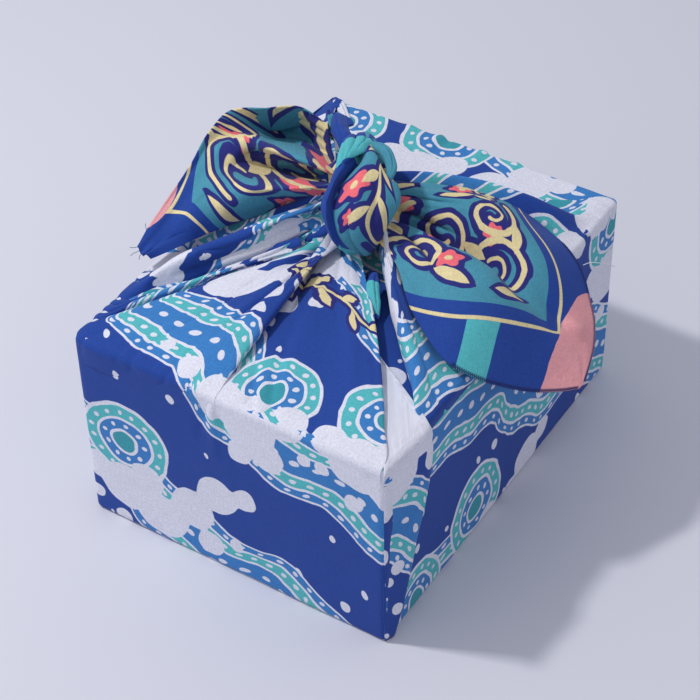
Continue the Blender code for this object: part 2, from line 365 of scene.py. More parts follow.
def field_print(wire):
    """The field's colours: snow, and the streams, rounds, clouds and vine over it."""
    flat, x, y = read_print_map(wire, wobble=7.0, scale=0.045)
    # Drops of snow on the ground, of uneven sizes.
    snow = {"Scale": SNOW_SCALE, "Randomness": 0.8}
    stretched = wire.node("ShaderNodeCombineXYZ", None, {"X": x, "Y": y * 0.78 + x * 0.25})
    near = wire.texture("ShaderNodeTexVoronoi", stretched, **snow)
    lot = wire.texture("ShaderNodeTexVoronoi", stretched, output=1, **snow)
    size = wire.node("ShaderNodeSeparateXYZ", None, {"Vector": lot}) * SNOW_MORE + SNOW_LEAST
    colour = near.below(size, softness=0.02).tint(NAVY, WHITE)
    # The streams.
    steep = math.atan(STREAM_SLOPE)
    along = x * math.cos(steep) - y * math.sin(steep)
    across = x * math.sin(steep) + y * math.cos(steep) - STREAM_START
    for sway in STREAM_SWAYS:
        across = across + (along * (2 * math.pi / sway.length) + sway.turn).math("SINE") * sway.size
    off = abs(across.math("WRAP", STREAM_PITCH / 2, -STREAM_PITCH / 2))
    stops = {"stops": [(share, ink[:3]) for share, ink in STREAM_STRIPES], "ramp": "CONSTANT"}
    stripes = wire.node("ShaderNodeValToRGB", stops, {"Fac": off / STREAM_HALF})
    for row in STREAM_BEADS:
        step = along.math("WRAP", row.pitch / 2, -row.pitch / 2)
        beside = off - row.at * STREAM_HALF
        bead = (step * step * BEAD_STRETCH + beside * beside).math("SQRT")
        stripes = bead.below(row.radius, PRINT_SOFTNESS).tint(stripes, WHITE)
    colour = off.below(STREAM_HALF, PRINT_SOFTNESS).tint(colour, stripes)
    # Rounds of waves and banks of cloud.
    column = ((x + TILE_SHIFT[0]) / TILE_WIDTH).math("ROUND")
    tile_x = x + TILE_SHIFT[0] - column * TILE_WIDTH
    dropped = y + TILE_SHIFT[1] + column * (TILE_HEIGHT / 2)
    tile_y = dropped.math("WRAP", TILE_HEIGHT / 2, -TILE_HEIGHT / 2)
    tile = wire.node("ShaderNodeCombineXYZ", None, {"X": tile_x, "Y": tile_y})
    for spot in WAVE_ROUNDS:
        away = distance(wire, tile, spot.x, spot.y)
        stops = {"stops": [(share, ink[:3]) for share, ink in RINGS], "ramp": "CONSTANT"}
        bands = wire.node("ShaderNodeValToRGB", stops, {"Fac": away / spot.radius})
        turn = (tile_y - spot.y).math("ARCTAN2", tile_x - spot.x)
        for row in RING_BEADS:
            step = 2 * math.pi / row.count
            round_it = turn.math("WRAP", step / 2, -step / 2) * (row.share * spot.radius)
            beside = away - row.share * spot.radius
            bead = (round_it * round_it + beside * beside).math("SQRT")
            bands = bead.below(RING_BEAD_RADIUS, PRINT_SOFTNESS).tint(bands, WHITE)
        colour = away.below(spot.radius, PRINT_SOFTNESS).tint(colour, bands)
    cloud = None
    for spot in CLOUD_ROUNDS:
        reach = distance(wire, tile, spot.x, spot.y) - spot.radius
        cloud = reach if cloud is None else cloud.math("SMOOTH_MIN", reach, CLOUD_BLEND)
    colour = cloud.below(0.0, PRINT_SOFTNESS).tint(colour, WHITE)
    # The vine, up to where it ends.
    past = abs(x - VINE_MIDDLE) - VINE_REACH
    leafy = vine(x, y - VINE_AT, VINE_LENGTH) + past.math("MAXIMUM", 0.0)
    colour = leafy.below(VINE_OUTLINE, PRINT_SOFTNESS).tint(colour, DARK_OUTLINE)
    colour = leafy.below(0.0, PRINT_SOFTNESS).tint(colour, CREAM)
    return colour, flat


field_cotton, wire, shader = new_material("printed_cotton_field")
colour, flat = field_print(wire)
finish_cotton(field_cotton, wire, shader, colour, flat)


def fit_cloth(piece, material):
    """Gives a sheet its thickness and finish, and says what it is."""
    solid = piece.modifiers.new("cloth_thickness", "SOLIDIFY")
    solid.thickness = CLOTH * MM
    solid.offset = 0.0
    piece.data.materials.append(material)
    piece.data.shade_smooth()
    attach(piece, "root")
    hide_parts("cloth")
# Gives a sheet its thickness and finish, hangs it from the root body, and hides the model's cloth.


def unevenness(point, size, seed):
    """Soft random swells of a given size, from -1 to 1."""
    return noise.noise(Vector(point) / size + Vector((seed, 2.7 * seed, 0.6)))


Swell = namedtuple("Swell", "amount size seed")
FACE_SWELLS = (Swell(0.35, 34.0, 3.1), Swell(0.12, 11.0, 5.2))
CALM_REACH = 16.0  # how far in from an edge the swells have their full size
PINCH_X = -7.0  # where the left half of the cloth leaves the front top edge
# Two creases run down from the pinch, each a little to its side, with a ridge between.
PINCH_LENGTH = 46.0
PINCH_START = 1.2
PINCH_SPREAD = 12.0
PINCH_CREASE = 1.6
PINCH_CREASE_WIDTH = 1.9
PINCH_RIDGE = 2.0
PINCH_RIDGE_WIDTH = 3.0
PINCH_RIDGE_TOP = 8.0  # how far down the ridge has its full height
# Creases that the pulled-over back corner makes: from the back edge to the front.
PullCrease = namedtuple("PullCrease", "x y end_x end_y depth width")
PULL_CREASES = (
    PullCrease(-17.5, 117, -20, 88, -1.5, 3.4),
    PullCrease(-13.0, 117, -15.6, 90, 1.1, 2.2),
    PullCrease(8.8, 117, 5, 97, -1.5, 3.2),
    PullCrease(13.0, 117, 9.0, 98, 1.1, 2.2),
    PullCrease(-36, 117, -42, 84, -1.2, 4.0),
    PullCrease(29, 117, 25, 99, -1.2, 2.6),
)
PULL_BEFORE = 0.2  # how far each goes on before its start, as a share of its length
CUBE_CUTS = 84
CROWDING = (1.35, 1.0, 1.0)  # finer across the middle, where the pinch and creases are
ROUNDED_SHARE = 0.93  # of a cube's half width is flat, and the rest goes round the edge


def station(values, half, crowding):
    """Where a unit cube's divisions come on a face: flat, then round the edge. Crowding
    above 1 brings them closer together at the middle."""
    size = np.abs(values)
    flat_part = (size / ROUNDED_SHARE) ** crowding * (half - EDGE_RADIUS)
    round_part = half - EDGE_RADIUS * np.clip((1 - size) / (1 - ROUNDED_SHARE), 0, 1)
    return np.sign(values) * np.where(size < ROUNDED_SHARE, flat_part, round_part)


bm = bmesh.new()
bmesh.ops.create_cube(bm, size=2.0)
bmesh.ops.subdivide_edges(bm, edges=bm.edges[:], cuts=CUBE_CUTS, use_grid_fill=True)
unit = np.array([vert.co for vert in bm.verts])
halves = np.array([RIGHT, BACK, HEIGHT / 2])
spread = np.stack([station(unit[:, k], halves[k], CROWDING[k]) for k in range(3)], axis=1)
core = np.clip(spread, EDGE_RADIUS - halves, halves - EDGE_RADIUS)
outward = spread - core
outward /= np.maximum(np.linalg.norm(outward, axis=1, keepdims=True), 1e-9)
skin = core + outward * EDGE_RADIUS + (0, 0, HEIGHT / 2)

for k, (place, way_out) in enumerate(zip(skin, outward)):
    x, y, z = place
    push = sum(swell.amount * unevenness(place, swell.size, swell.seed) for swell in FACE_SWELLS)
    if way_out[2] < -0.5:
        push = 0.0  # the underside lies flat
    down = HEIGHT - z
    from_edge = down
    if way_out[2] > 0.5:
        from_edge = min(max(x - LEFT, 0), max(RIGHT - x, 0), max(y - FRONT, 0))
    if y < BACK - EDGE_RADIUS:
        push *= min(1.0, from_edge / CALM_REACH)
    if y < FRONT + EDGE_RADIUS and down < PINCH_LENGTH:
        fading = 1 - down / PINCH_LENGTH
        for side in (-1, 1):
            off = x - PINCH_X - side * (PINCH_START + PINCH_SPREAD * down / PINCH_LENGTH)
            push -= PINCH_CREASE * math.exp(-((off / PINCH_CREASE_WIDTH) ** 2)) * fading**1.2
        ridge = PINCH_RIDGE * math.exp(-(((x - PINCH_X) / PINCH_RIDGE_WIDTH) ** 2))
        push += ridge * fading * min(1.0, down / PINCH_RIDGE_TOP)
    if way_out[2] > 0.02:
        for crease in PULL_CREASES:
            share = (crease.y - y) / (crease.y - crease.end_y)
            if -PULL_BEFORE < share < 1.0:
                middle = crease.x + (crease.end_x - crease.x) * share
                fading = (1 - max(0.0, share)) ** 0.8 * min(1.0, way_out[2] * 1.4)
                push -= crease.depth * math.exp(-(((x - middle) / crease.width) ** 2)) * fading
    skin[k] += way_out * push
for vert, place in zip(bm.verts, skin):
    vert.co = place * MM
wrapped_mesh = bpy.data.meshes.new("wrapped_faces")
bm.normal_update()
print_layer = bm.loops.layers.uv.new("print")
BACK_PRINT = (-50.0, 460.0)  # where the print stands at the back edge
DOG_EAR_OFFSET = 41.0  # how far the print has moved on where a corner was folded under
for face in bm.faces:
    across = max(range(3), key=lambda k: abs(face.normal[k]))
    ahead = face.normal[across] > 0
    for loop in face.loops:
        x, y, z = loop.vert.co / MM
        if across == 0 and not ahead:
            spot = (LEFT - (y - FRONT), z - HEIGHT)
        elif across == 0:
            spot = (RIGHT + (y - FRONT) + DOG_EAR_OFFSET, z - HEIGHT + DOG_EAR_OFFSET)
        elif across == 1 and not ahead:
            spot = (x, z - HEIGHT)
        elif across == 1:
            spot = (x + BACK_PRINT[0], BACK_PRINT[1] + HEIGHT - z)
        elif ahead:
            spot = (x + BACK_PRINT[0], BACK_PRINT[1] + y - BACK)
        else:
            spot = (x, -HEIGHT - y + FRONT)
        loop[print_layer].uv = (spot[0] * MM, spot[1] * MM)
bm.to_mesh(wrapped_mesh)
bm.free()
wrapped_faces = bpy.data.objects.new("wrapped_faces", wrapped_mesh)
bpy.context.scene.collection.objects.link(wrapped_faces)
fit_cloth(wrapped_faces, field_cotton)


# ---------------------------------------------------------------- front flap
# The cloth's front corner, folded back over the top and in under the knot. Its right
# border is a soft fold, and an inner layer shows in the pocket beside it.


def smooth(points, shares, knots=None):
    """Rows read at shares, 0 to 1, from smooth curves through rows standing at knots."""
    points = np.asarray(points, float)
    knots = np.linspace(0, 1, len(points)) if knots is None else np.asarray(knots)
    gaps = np.diff(knots).reshape(-1, *[1] * (points.ndim - 1))
    slopes = np.diff(points, axis=0) / gaps
    middle = (slopes[:-1] * gaps[1:] + slopes[1:] * gaps[:-1]) / (gaps[:-1] + gaps[1:])
    slopes = np.concatenate([slopes[:1], middle, slopes[-1:]])
    low = np.clip(np.searchsorted(knots, shares, side="right") - 1, 0, len(points) - 2)
    t = (np.asarray(shares) - knots[low]).reshape(-1, *[1] * (points.ndim - 1)) / gaps[low]
    start = points[low] * (1 + 2 * t) + slopes[low] * gaps[low] * t
    end = points[low + 1] * (3 - 2 * t) + slopes[low + 1] * gaps[low] * (t - 1)
    return start * (1 - t) ** 2 + end * t**2


def loft(sections, along, across, knots=None):
    """A grid of points through sections, each a row of the same number of points."""
    rows = smooth(sections, np.linspace(0, 1, along + 1), knots)
    return smooth(rows.swapaxes(0, 1), np.linspace(0, 1, across + 1)).swapaxes(0, 1)


def unit_vectors(vectors):
    """Each vector made 1 long."""
    return vectors / np.maximum(np.linalg.norm(vectors, axis=-1, keepdims=True), 1e-9)


def reach_across(grid):
    """How far each point is from its row's first point, along the sheet."""
    steps = np.linalg.norm(np.diff(grid, axis=1), axis=2)
    return np.concatenate([np.zeros((len(grid), 1)), np.cumsum(steps, axis=1)], axis=1)


def reach_along(grid):
    """How far each point is from its column's first point, along the sheet."""
    return reach_across(grid.swapaxes(0, 1)).T


# A trough, or with a depth below 0 a ridge, along a path of points: the share along, the
# share across and the strength there. lean moves the cloth beside the trough over it, as
# a pleat overhangs. far_width is its width on the side of the larger shares across.
Crease = namedtuple("Crease", "path depth width lean far_width", defaults=(0.0, None))


CREASE_SHARPNESS = 1.7  # 2 is a bell curve, and less a narrower bottom
LEAN_WIDTH = 1.3  # of the part that leans, against the trough's own width
LEAN_RISE = 0.35  # how much it rises for each mm that it leans


def crease_sheet(grid, creases, outward=(0, 0, 1)):
    """Presses creases into a grid. outward: which way the cloth's outside faces, as one
    direction for all of it or one for each point."""
    sideways = unit_vectors(np.gradient(grid, axis=1))
    normal = unit_vectors(np.cross(sideways, np.gradient(grid, axis=0)))
    facing = np.sign(np.sum(normal * np.asarray(outward, float), axis=-1).mean())
    normal = normal * facing
    reach = reach_across(grid)
    along = np.linspace(0, 1, grid.shape[0])
    across = np.linspace(0, 1, grid.shape[1])
    moved = grid.copy()
    for crease in creases:
        path = np.array(crease.path, float)
        inside = (along >= path[0, 0]) & (along <= path[-1, 0])
        side, fade = smooth(path[:, 1:], np.clip(along, path[0, 0], path[-1, 0]), path[:, 0]).T
        fade = np.clip(fade * inside, 0, 1)[:, None]
        middle = np.array([np.interp(s, across, row) for s, row in zip(side, reach)])
        beside = reach - middle[:, None]
        beside /= np.where(beside < 0, crease.width, crease.far_width or crease.width)
        dip = np.exp(-np.abs(beside) ** CREASE_SHARPNESS) * fade
        moved -= normal * (crease.depth * dip)[..., None]
        if crease.lean:
            own_side = (beside * math.copysign(1, crease.lean)) < 0
            shift = crease.lean * np.exp(-((beside / LEAN_WIDTH) ** 2)) * fade * own_side
            moved += sideways * shift[..., None]
            moved += normal * (abs(shift) * LEAN_RISE)[..., None]
    return moved


FINE_WEAKEST = 0.4
FINE_WANDER = 0.02
FINE_DEPTHS = (1, 1, -0.6)  # most are troughs, and some are lower ridges


def fine_creases(count, seed, starts, sides, lengths, depth, width):
    """A count of fine uneven creases where cloth is drawn in: each starts in a range
    along the sheet and across it, and dies out over a length along, which is negative to
    run back."""
    chance = np.random.default_rng(seed)
    made = []
    for _ in range(count):
        start, side = chance.uniform(*starts), chance.uniform(*sides)
        end = start + chance.uniform(*lengths)
        strength = chance.uniform(FINE_WEAKEST, 1.0)
        turned = side + chance.uniform(-FINE_WANDER, FINE_WANDER)
        path = [(start, side, strength), ((start + end) / 2, turned, strength * 0.7), (end, side, 0)]
        made.append(Crease(sorted(path), depth * chance.choice(FINE_DEPTHS), width))
    return tuple(made)


def soften(grid, size, amount, seed, calm=0.0):
    """Small uneven swells, out of the sheet. They grow over the first rows, to a share calm."""
    normal = unit_vectors(np.cross(np.gradient(grid, axis=1), np.gradient(grid, axis=0)))
    swell = [[unevenness(point, size, seed) for point in row] for row in grid]
    growth = np.clip(np.linspace(0, 1, len(grid)) / max(calm, 1e-3), 0, 1)[:, None]
    return grid + normal * (np.array(swell) * amount * growth)[..., None]


def print_places(grid, start):
    """Each point's place on the print, in mm, from where the grid's first point is on it."""
    return np.stack([start[0] + reach_across(grid), start[1] + reach_along(grid)], axis=-1)


def sheet_object(name, grid, prints):
    """A sheet from a grid of points in mm, with each point's place on the print in mm."""
    rows, columns = grid.shape[:2]
    corner = np.arange(rows * columns).reshape(rows, columns)
    faces = np.stack([corner[:-1, :-1], corner[:-1, 1:], corner[1:, 1:], corner[1:, :-1]], axis=-1)
    mesh = bpy.data.meshes.new(name)
    mesh.from_pydata((grid.reshape(-1, 3) * MM).tolist(), [], faces.reshape(-1, 4).tolist())
    layer = mesh.uv_layers.new(name="print")
    spots = prints.reshape(-1, 2)[faces.reshape(-1)] * MM
    layer.data.foreach_set("uv", spots.reshape(-1).astype(np.float32))
    obj = bpy.data.objects.new(name, mesh)
    bpy.context.scene.collection.objects.link(obj)
    return obj


# Drawn-up sheets begin on the carton's side, just under the cloth there, and turn over
# the top edge: how far out from the side and how far above the top each row is.
EDGE_ROLL = ((-0.6, -15.0), (-0.05, -5.5), (0.0, -3.0), (-0.88, -0.88), (-3.0, 0.0))
ROLL_KNOTS = (0.0, 0.072, 0.091, 0.109, 0.126)
ROLL_CALM = 0.16  # swells have their full size this share along, past the edge
SIDE_REACH = -EDGE_ROLL[0][1]  # how far down the side a drawn-up sheet begins
FOLD_STEPS = 6
LATE_RISE = 2.2  # a fold rises to the knot mostly near its end
ARCH_END = 1.05  # its arch comes down just before that, and is full in the middle
ARCH_FULLNESS = 0.7


def fold_line(edge, outward, end, lift, above, bow=(0, 0, 0)):
    """A fold from the carton's side over its edge and up to the knot. lift: how far it
    arches; above: how far over the cloth of the edge it lies; bow: how far it bends."""
    edge, outward, end = (np.asarray(v, float) for v in (edge, outward, end))
    line = []
    for k, (out, up) in enumerate(EDGE_ROLL):
        # The fold comes off the cloth beneath over the first rows, and rises over the last.
        place = edge + outward * (out + above * min(1, k / 2))
        line.append(place + (0, 0, up + above * (k > 2)))
    start = line[-1]
    for share in np.linspace(0, 1, FOLD_STEPS + 1)[1:]:
        point = start + (end - start) * (share, share, share**LATE_RISE)
        point[2] += lift * math.sin(math.pi * min(1.0, share * ARCH_END)) ** ARCH_FULLNESS
        line.append(point + np.asarray(bow) * math.sin(math.pi * share))
    return np.array(line)


def drawn_up(lines, along, across):
    """A grid through folds that stand side by side."""
    knots = (*ROLL_KNOTS, *np.linspace(ROLL_KNOTS[-1], 1, FOLD_STEPS + 1)[1:])
    return loft(np.swapaxes(lines, 0, 1), along, across, knots)


# edge: X where a line of the flap crosses the front top edge. end: X under the knot.
FlapLine = namedtuple("FlapLine", "edge end lift bow", defaults=(0.0,))
FRONT_FLAP = (
    FlapLine(-30, -26, 1.0),
    FlapLine(-9, -18, 2.0),
    FlapLine(18, -11, 4.0),
    FlapLine(44, -6, 3.0, 2.0),
    FlapLine(66, -2.5, 5.5, 4.0),
    FlapLine(84, 0.5, 6.0, 4.5),
    FlapLine(82, -0.5, 1.0, 4.5),
    FlapLine(74, -5, 0.4, 3.5),
)
FLAP_END_Y = 2.0
FLAP_END_RISE = 8.0
FLAP_ABOVE = 0.2
flap_lines = [
    fold_line(
        (line.edge, FRONT, HEIGHT),
        (0, -1, 0),
        (line.end, FLAP_END_Y, HEIGHT + FLAP_END_RISE),
        line.lift,
        FLAP_ABOVE,
        (line.bow, 0, 0),
    )
    for line in FRONT_FLAP
]
flap = drawn_up(flap_lines, along=96, across=120)
FLAP_CREASES = (
    Crease(((0.55, 0.23, 0), (0.7, 0.21, 0.7), (0.82, 0.183, 1), (1.0, 0.13, 1)), 4.0, 1.8, -1.5),
    Crease(((0.02, 0.34, 0), (0.15, 0.31, 0.9), (0.5, 0.27, 0.6), (0.8, 0.25, 0)), 1.6, 3.2),
    Crease(((0.02, 0.27, 0), (0.10, 0.26, 1), (0.4, 0.20, 0)), 1.4, 2.2),
    Crease(((0.23, 0.575, 0), (0.48, 0.55, 1), (0.73, 0.49, 1), (0.94, 0.41, 1)), -1.3, 4.5),
    Crease(((0.30, 0.68, 0), (0.6, 0.66, 0.8), (1.0, 0.60, 1)), 1.5, 3.0),
    Crease(((0.6, 0.45, 0), (1.0, 0.36, 1)), 1.8, 2.0),
    *fine_creases(7, 21, (0.9, 1.0), (0.1, 0.75), (-0.4, -0.15), 0.8, 1.2),
    *fine_creases(5, 22, (0.0, 0.05), (0.1, 0.75), (0.15, 0.35), 0.5, 1.6),
)
flap = soften(crease_sheet(flap, FLAP_CREASES), size=26.0, amount=0.5, seed=2.0, calm=ROLL_CALM)
flap_print = print_places(flap, (FRONT_FLAP[0].edge, -SIDE_REACH))
front_flap = sheet_object("front_flap", flap, flap_print)
fit_cloth(front_flap, field_cotton)


# ---------------------------------------------------------------- corner folds
# At the front right and back left edges the spare cloth is laid round the corner as a
# dog-ear. Its soft fold stands a little off the side. The front one is tucked in on top.

# reach: how far round the corner the fold comes. bulge: how far it stands off the side.
CornerFold = namedtuple("CornerFold", "height reach bulge")
CORNER_FOLD = (
    CornerFold(0.8, 6, 1.2),
    CornerFold(18, 13, 2.4),
    CornerFold(36, 18, 3.0),
    CornerFold(56, 24, 3.6),
    CornerFold(74, 30, 4.2),
    CornerFold(92, 35, 4.2),
    CornerFold(108, 37, 3.2),
    CornerFold(HEIGHT, 36, 1.6),
)
# Across the fold, from the edge over its roll: shares of the bulge and of the reach.
CORNER_ROLL = ((-0.4, 0.0), (0.5, 0.5), (1.0, 0.8), (0.9, 0.97), (0.45, 1.0), (0.1, 0.9))
CORNER_OFF = 0.3  # how far off the side it starts, and how far behind the front
CORNER_BEHIND = 0.4
TUCK_END = (44.0, -52.0)
TUCK_RISE = 2.2
TUCK_SHARES = (0.35, 0.7, 0.96)


def corner_fold(turned, tuck):
    """Rows across a dog-ear, up the edge and in over the top, at the front right or
    turned round to the back left."""
    sections = []
    for row in CORNER_FOLD:
        section = [
            (RIGHT + CORNER_OFF + out * row.bulge, FRONT + CORNER_BEHIND + share * row.reach, row.height)
            for out, share in CORNER_ROLL
        ]
        sections.append(np.array(section))
    if tuck:
        top_row = sections[-1]
        for share in TUCK_SHARES:
            end = np.array([*TUCK_END, HEIGHT + TUCK_RISE])
            row = top_row + (end - top_row) * share
            row[:, 2] = HEIGHT + TUCK_RISE * min(1.0, 0.4 + share)
            sections.append(row)
    sections = np.array(sections)
    return sections * (-1, -1, 1) if turned else sections


for name, turned, tuck in (("front_corner", False, True), ("back_corner", True, False)):
    grid = loft(corner_fold(turned, tuck), along=90, across=40)
    grid = soften(grid, size=20.0, amount=0.4, seed=7.0)
    start = LEFT - (BACK - FRONT) if turned else RIGHT
    heights = np.minimum(grid[..., 2] - HEIGHT, reach_along(grid) - HEIGHT)
    prints = np.stack([start + reach_across(grid), heights], axis=-1)
    piece = sheet_object(name, grid, prints)
    fit_cloth(piece, field_cotton)


# ---------------------------------------------------------------- gathered sides
# The cloth's left and right sides, drawn up from the top edges into the knot. Each is a
# fan of pleats: broad ridges with the print at its own scale, and deep narrow valleys
# where the rest of the width is folded away.

KNOT_TURN = math.radians(31)
KNOT_CENTRE = np.array([-9.0, 17.0, HEIGHT + 29])
KNOT_AXIS = np.array([math.cos(KNOT_TURN), math.sin(KNOT_TURN), 0.0])
KNOT_BACK = np.array([-math.sin(KNOT_TURN), math.cos(KNOT_TURN), 0.0])
UP = np.array([0.0, 0.0, 1.0])
MOUTH_REACH = 11.0  # from the knot's centre to each mouth, where cloth goes in


def mouth_point(side, turn, reach):
    """A point round the knot's left (-1) or right (1) mouth, at a turn in degrees."""
    turn = math.radians(turn)
    ring = KNOT_BACK * math.cos(turn) + UP * math.sin(turn)
    return KNOT_CENTRE + KNOT_AXIS * side * MOUTH_REACH + ring * reach


# A row for each ridge or hollow. edge: mm along the top edges. turn and reach: where the
# fold goes into the knot's mouth. lift: how far it stands up half way.
Fold = namedtuple("Fold", "edge turn reach lift above bow", defaults=(0.5, 0.0))
LEFT_FOLDS = (
    Fold(12, 214, 15, -1.0, 0.05),
    Fold(0, 219, 20, 3.0, 0.2),
    Fold(-2, 222, 24, 8.0, 0.35),
    Fold(6, 221, 24, 9.5, 0.35),
    Fold(22, 220, 23.5, 8.5, 0.45),
    Fold(45, 218, 22, 6.0, 0.45),
    Fold(77, 216, 20.5, 5.0, 0.4),
    Fold(94, 215, 19.5, 2.5),
    Fold(103, 213, 19, 5.5),
    Fold(113, 212, 16, -3.0),
    Fold(119, 196, 12, -1.0),
    Fold(125, 168, 12, 12.5),
    Fold(134, 150, 12, 13.0),
    Fold(150, 128, 10, 3.5),
    Fold(172, 110, 11, 6.0),
    Fold(200, 90, 10, 3.0),
    Fold(230, 60, 12, 6.0),
    Fold(258, 30, 12, 3.0),
    Fold(282, 0, 16, 6.0),
    Fold(306, -25, 20, 2.5),
)
LEFT_CREASES = (
    Crease(((0.30, 0.21, 0), (0.6, 0.20, 0.8), (1.0, 0.18, 1)), 3.2, 1.8, 1.6),
    Crease(((0.45, 0.32, 0), (0.75, 0.32, 1), (1.0, 0.32, 1)), 2.6, 1.4, 1.2),
    Crease(((0.10, 0.27, 0), (0.5, 0.26, 0.7), (1.0, 0.25, 1)), 1.6, 2.0, 1.0),
    Crease(((0.02, 0.365, 0), (0.2, 0.37, 1), (1.0, 0.37, 1)), 4.0, 1.7, 2.6),
    Crease(((0.05, 0.475, 0), (0.25, 0.475, 0.6), (0.55, 0.49, 1), (0.9, 0.50, 1)), 4.0, 3.0),
    Crease(((0.30, 0.55, 0), (0.45, 0.55, 0.8), (0.62, 0.55, 1), (0.95, 0.54, 1)), 4.0, 2.4, -3.0),
    Crease(((0.03, 0.41, 0), (0.2, 0.412, 1), (0.6, 0.408, 0.6), (1.0, 0.41, 1)), 3.4, 1.4, 1.6),
    Crease(((0.05, 0.445, 0), (0.3, 0.44, 0.8), (1.0, 0.442, 1)), 3.2, 1.4, 1.6),
    Crease(((0.05, 0.60, 0), (0.3, 0.605, 1), (0.7, 0.60, 0)), 2.2, 1.4, 1.0),
    Crease(((0.04, 0.645, 0), (0.3, 0.65, 1), (0.7, 0.645, 0)), 2.4, 1.5, 1.0),
    Crease(
        ((0.40, 0.59, 0), (0.56, 0.585, 0.9), (0.80, 0.572, 1), (1.0, 0.565, 1)),
        9.5, 4.2, 0.0, 2.8,
    ),
    Crease(((0.02, 0.70, 0), (0.2, 0.70, 1), (1.0, 0.68, 1)), 4.0, 2.0, 2.0),
    Crease(((0.05, 0.79, 0), (0.3, 0.79, 1), (1.0, 0.79, 1)), 3.5, 2.2, -2.0),
    Crease(((0.05, 0.88, 0), (0.3, 0.88, 1), (1.0, 0.88, 1)), 3.5, 2.2, 2.0),
    *fine_creases(12, 31, (0.9, 1.0), (0.10, 0.36), (-0.6, -0.2), 1.0, 1.1),
    *fine_creases(8, 32, (0.0, 0.08), (0.12, 0.36), (0.15, 0.4), 0.7, 1.5),
    *fine_creases(10, 33, (0.9, 1.0), (0.55, 0.95), (-0.7, -0.3), 1.6, 1.2),
)
LEFT_VALLEYS = (0.19, 0.37, 0.49, 0.55, 0.70, 0.79, 0.88)
RIGHT_FOLDS = (
    Fold(52, 212, 18, 0.0, 0.3, -2.5),
    Fold(40, 221, 26, 1.5, 0.3, -2.4),
    Fold(37, 222, 29, 6.0, 0.6, -2.4),
    Fold(40, 219, 30, 12.0, 0.6, -2.6),
    Fold(49, 210, 27, 13.0, 0.6, -2.6),
    Fold(59, 200, 20, 8.0, 0.6, -2.4),
    Fold(78, 190, 14, 1.0, 0.6, -2.0),
    Fold(110, 215, 8, -2.0, 0.5),
    Fold(150, 300, 8, -2.0, 0.5),
    Fold(180, 345, 10, 4.0, 0.6),
    Fold(189, 350, 15, 13.0, 0.6),
    Fold(196, 357, 20, 20.0, 0.6),
    Fold(202, -4, 21, 15.0, 0.6),
    Fold(207, -12, 20, 4.0, 0.6),
    Fold(216, -18, 22, 0.5, 0.6),
    Fold(226, -24, 25, 0.5, 0.6),
    Fold(220, -20, 20, 0.5, 0.3),
)
RIGHT_CREASES = (
    Crease(((0.0, 0.27, 0.6), (1.0, 0.27, 1)), 0.9, 2.0),
    Crease(((0.2, 0.60, 0), (0.4, 0.60, 1), (1.0, 0.60, 1)), 2.5, 2.4),
    Crease(((0.05, 0.84, 0), (0.3, 0.83, 1), (1.0, 0.82, 1)), 2.2, 1.6, -1.2),
    *fine_creases(6, 41, (0.85, 1.0), (0.14, 0.34), (-0.4, -0.2), 0.8, 1.1),
    *fine_creases(8, 42, (0.85, 1.0), (0.62, 0.9), (-0.7, -0.3), 0.9, 1.2),
    *fine_creases(5, 43, (0.0, 0.05), (0.6, 0.95), (0.15, 0.4), 0.8, 1.8),
)
RIGHT_VALLEYS = (0.40, 0.50, 0.57)


def left_edge(distance):
    """The place on the top edge, and the way outward, at a distance from the pinch."""
    along_front = PINCH_X - LEFT
    if distance < along_front:
        outward = (-0.7, -0.7, 0) if distance > along_front - EDGE_RADIUS else (0, -1, 0)
        return (PINCH_X - distance, FRONT, HEIGHT), outward
    return (LEFT, min(FRONT + distance - along_front, BACK - EDGE_RADIUS), HEIGHT), (-1, 0, 0)


def right_edge(distance):
    """The same on the right top edge, at a distance from the front."""
    return (RIGHT, FRONT + distance, HEIGHT), (1, 0, 0)


VALLEY_SHARE = 0.03  # how much of the way across a valley takes up


def gathered_print(grid, start, direction, valleys):
    """Print places on pleated cloth, with the folded-away width left out in the valleys."""
    reach = reach_across(grid)
    hidden = np.maximum(reach[0, -1] - reach[:, -1], 0)
    across = np.linspace(0, 1, grid.shape[1])
    steps = (np.clip((across - valley) / VALLEY_SHARE + 0.5, 0, 1) for valley in valleys)
    passed = sum(steps) / len(valleys)
    flat_across = start + direction * (reach + np.outer(hidden, passed))
    return np.stack([flat_across, reach_along(grid) - SIDE_REACH], axis=-1)


def gathered_side(name, folds, edge_at, side, creases, valleys, start, across, flat_size):
    """One side drawn up. edge_at: gives places on its top edges. side: -1 is the left, 1
    the right. start: where its print begins. across: how many divisions it has."""
    lines = []
    for fold in folds:
        end = mouth_point(side, fold.turn, fold.reach)
        bow = KNOT_AXIS * fold.bow
        lines.append(fold_line(*edge_at(fold.edge), end, fold.lift, fold.above, bow))
    grid = drawn_up(lines, along=110, across=across)
    grid = crease_sheet(grid, creases)
    grid = soften(grid, size=17.0, amount=0.45, seed=4.0 + side, calm=ROLL_CALM)
    prints = gathered_print(grid, start, side, valleys)
    piece = sheet_object(name, grid, prints)
    fit_cloth(piece, field_cotton)


# The turned-under border shows the print from before the fold's own place on the edge.
LEFT_UNDER = 16.0
RIGHT_UNDER = 22.0
left_side = (LEFT_FOLDS, left_edge, -1, LEFT_CREASES, LEFT_VALLEYS)
gathered_side("left_gather", *left_side, PINCH_X + LEFT_UNDER, 400, (0.28, 0.10))
right_side = (RIGHT_FOLDS, right_edge, 1, RIGHT_CREASES, RIGHT_VALLEYS)
right_start = RIGHT + DOG_EAR_OFFSET + RIGHT_UNDER
gathered_side("right_gather", *right_side, right_start, 280, (0.19, 0.09))


# ---------------------------------------------------------------- ears
# The cloth's two corners past the knot, opened out into ears. Here the print has a teal
# ground with a vine scroll and blossoms, inside a navy border with a cream line. The
# edge is turned and overlocked.

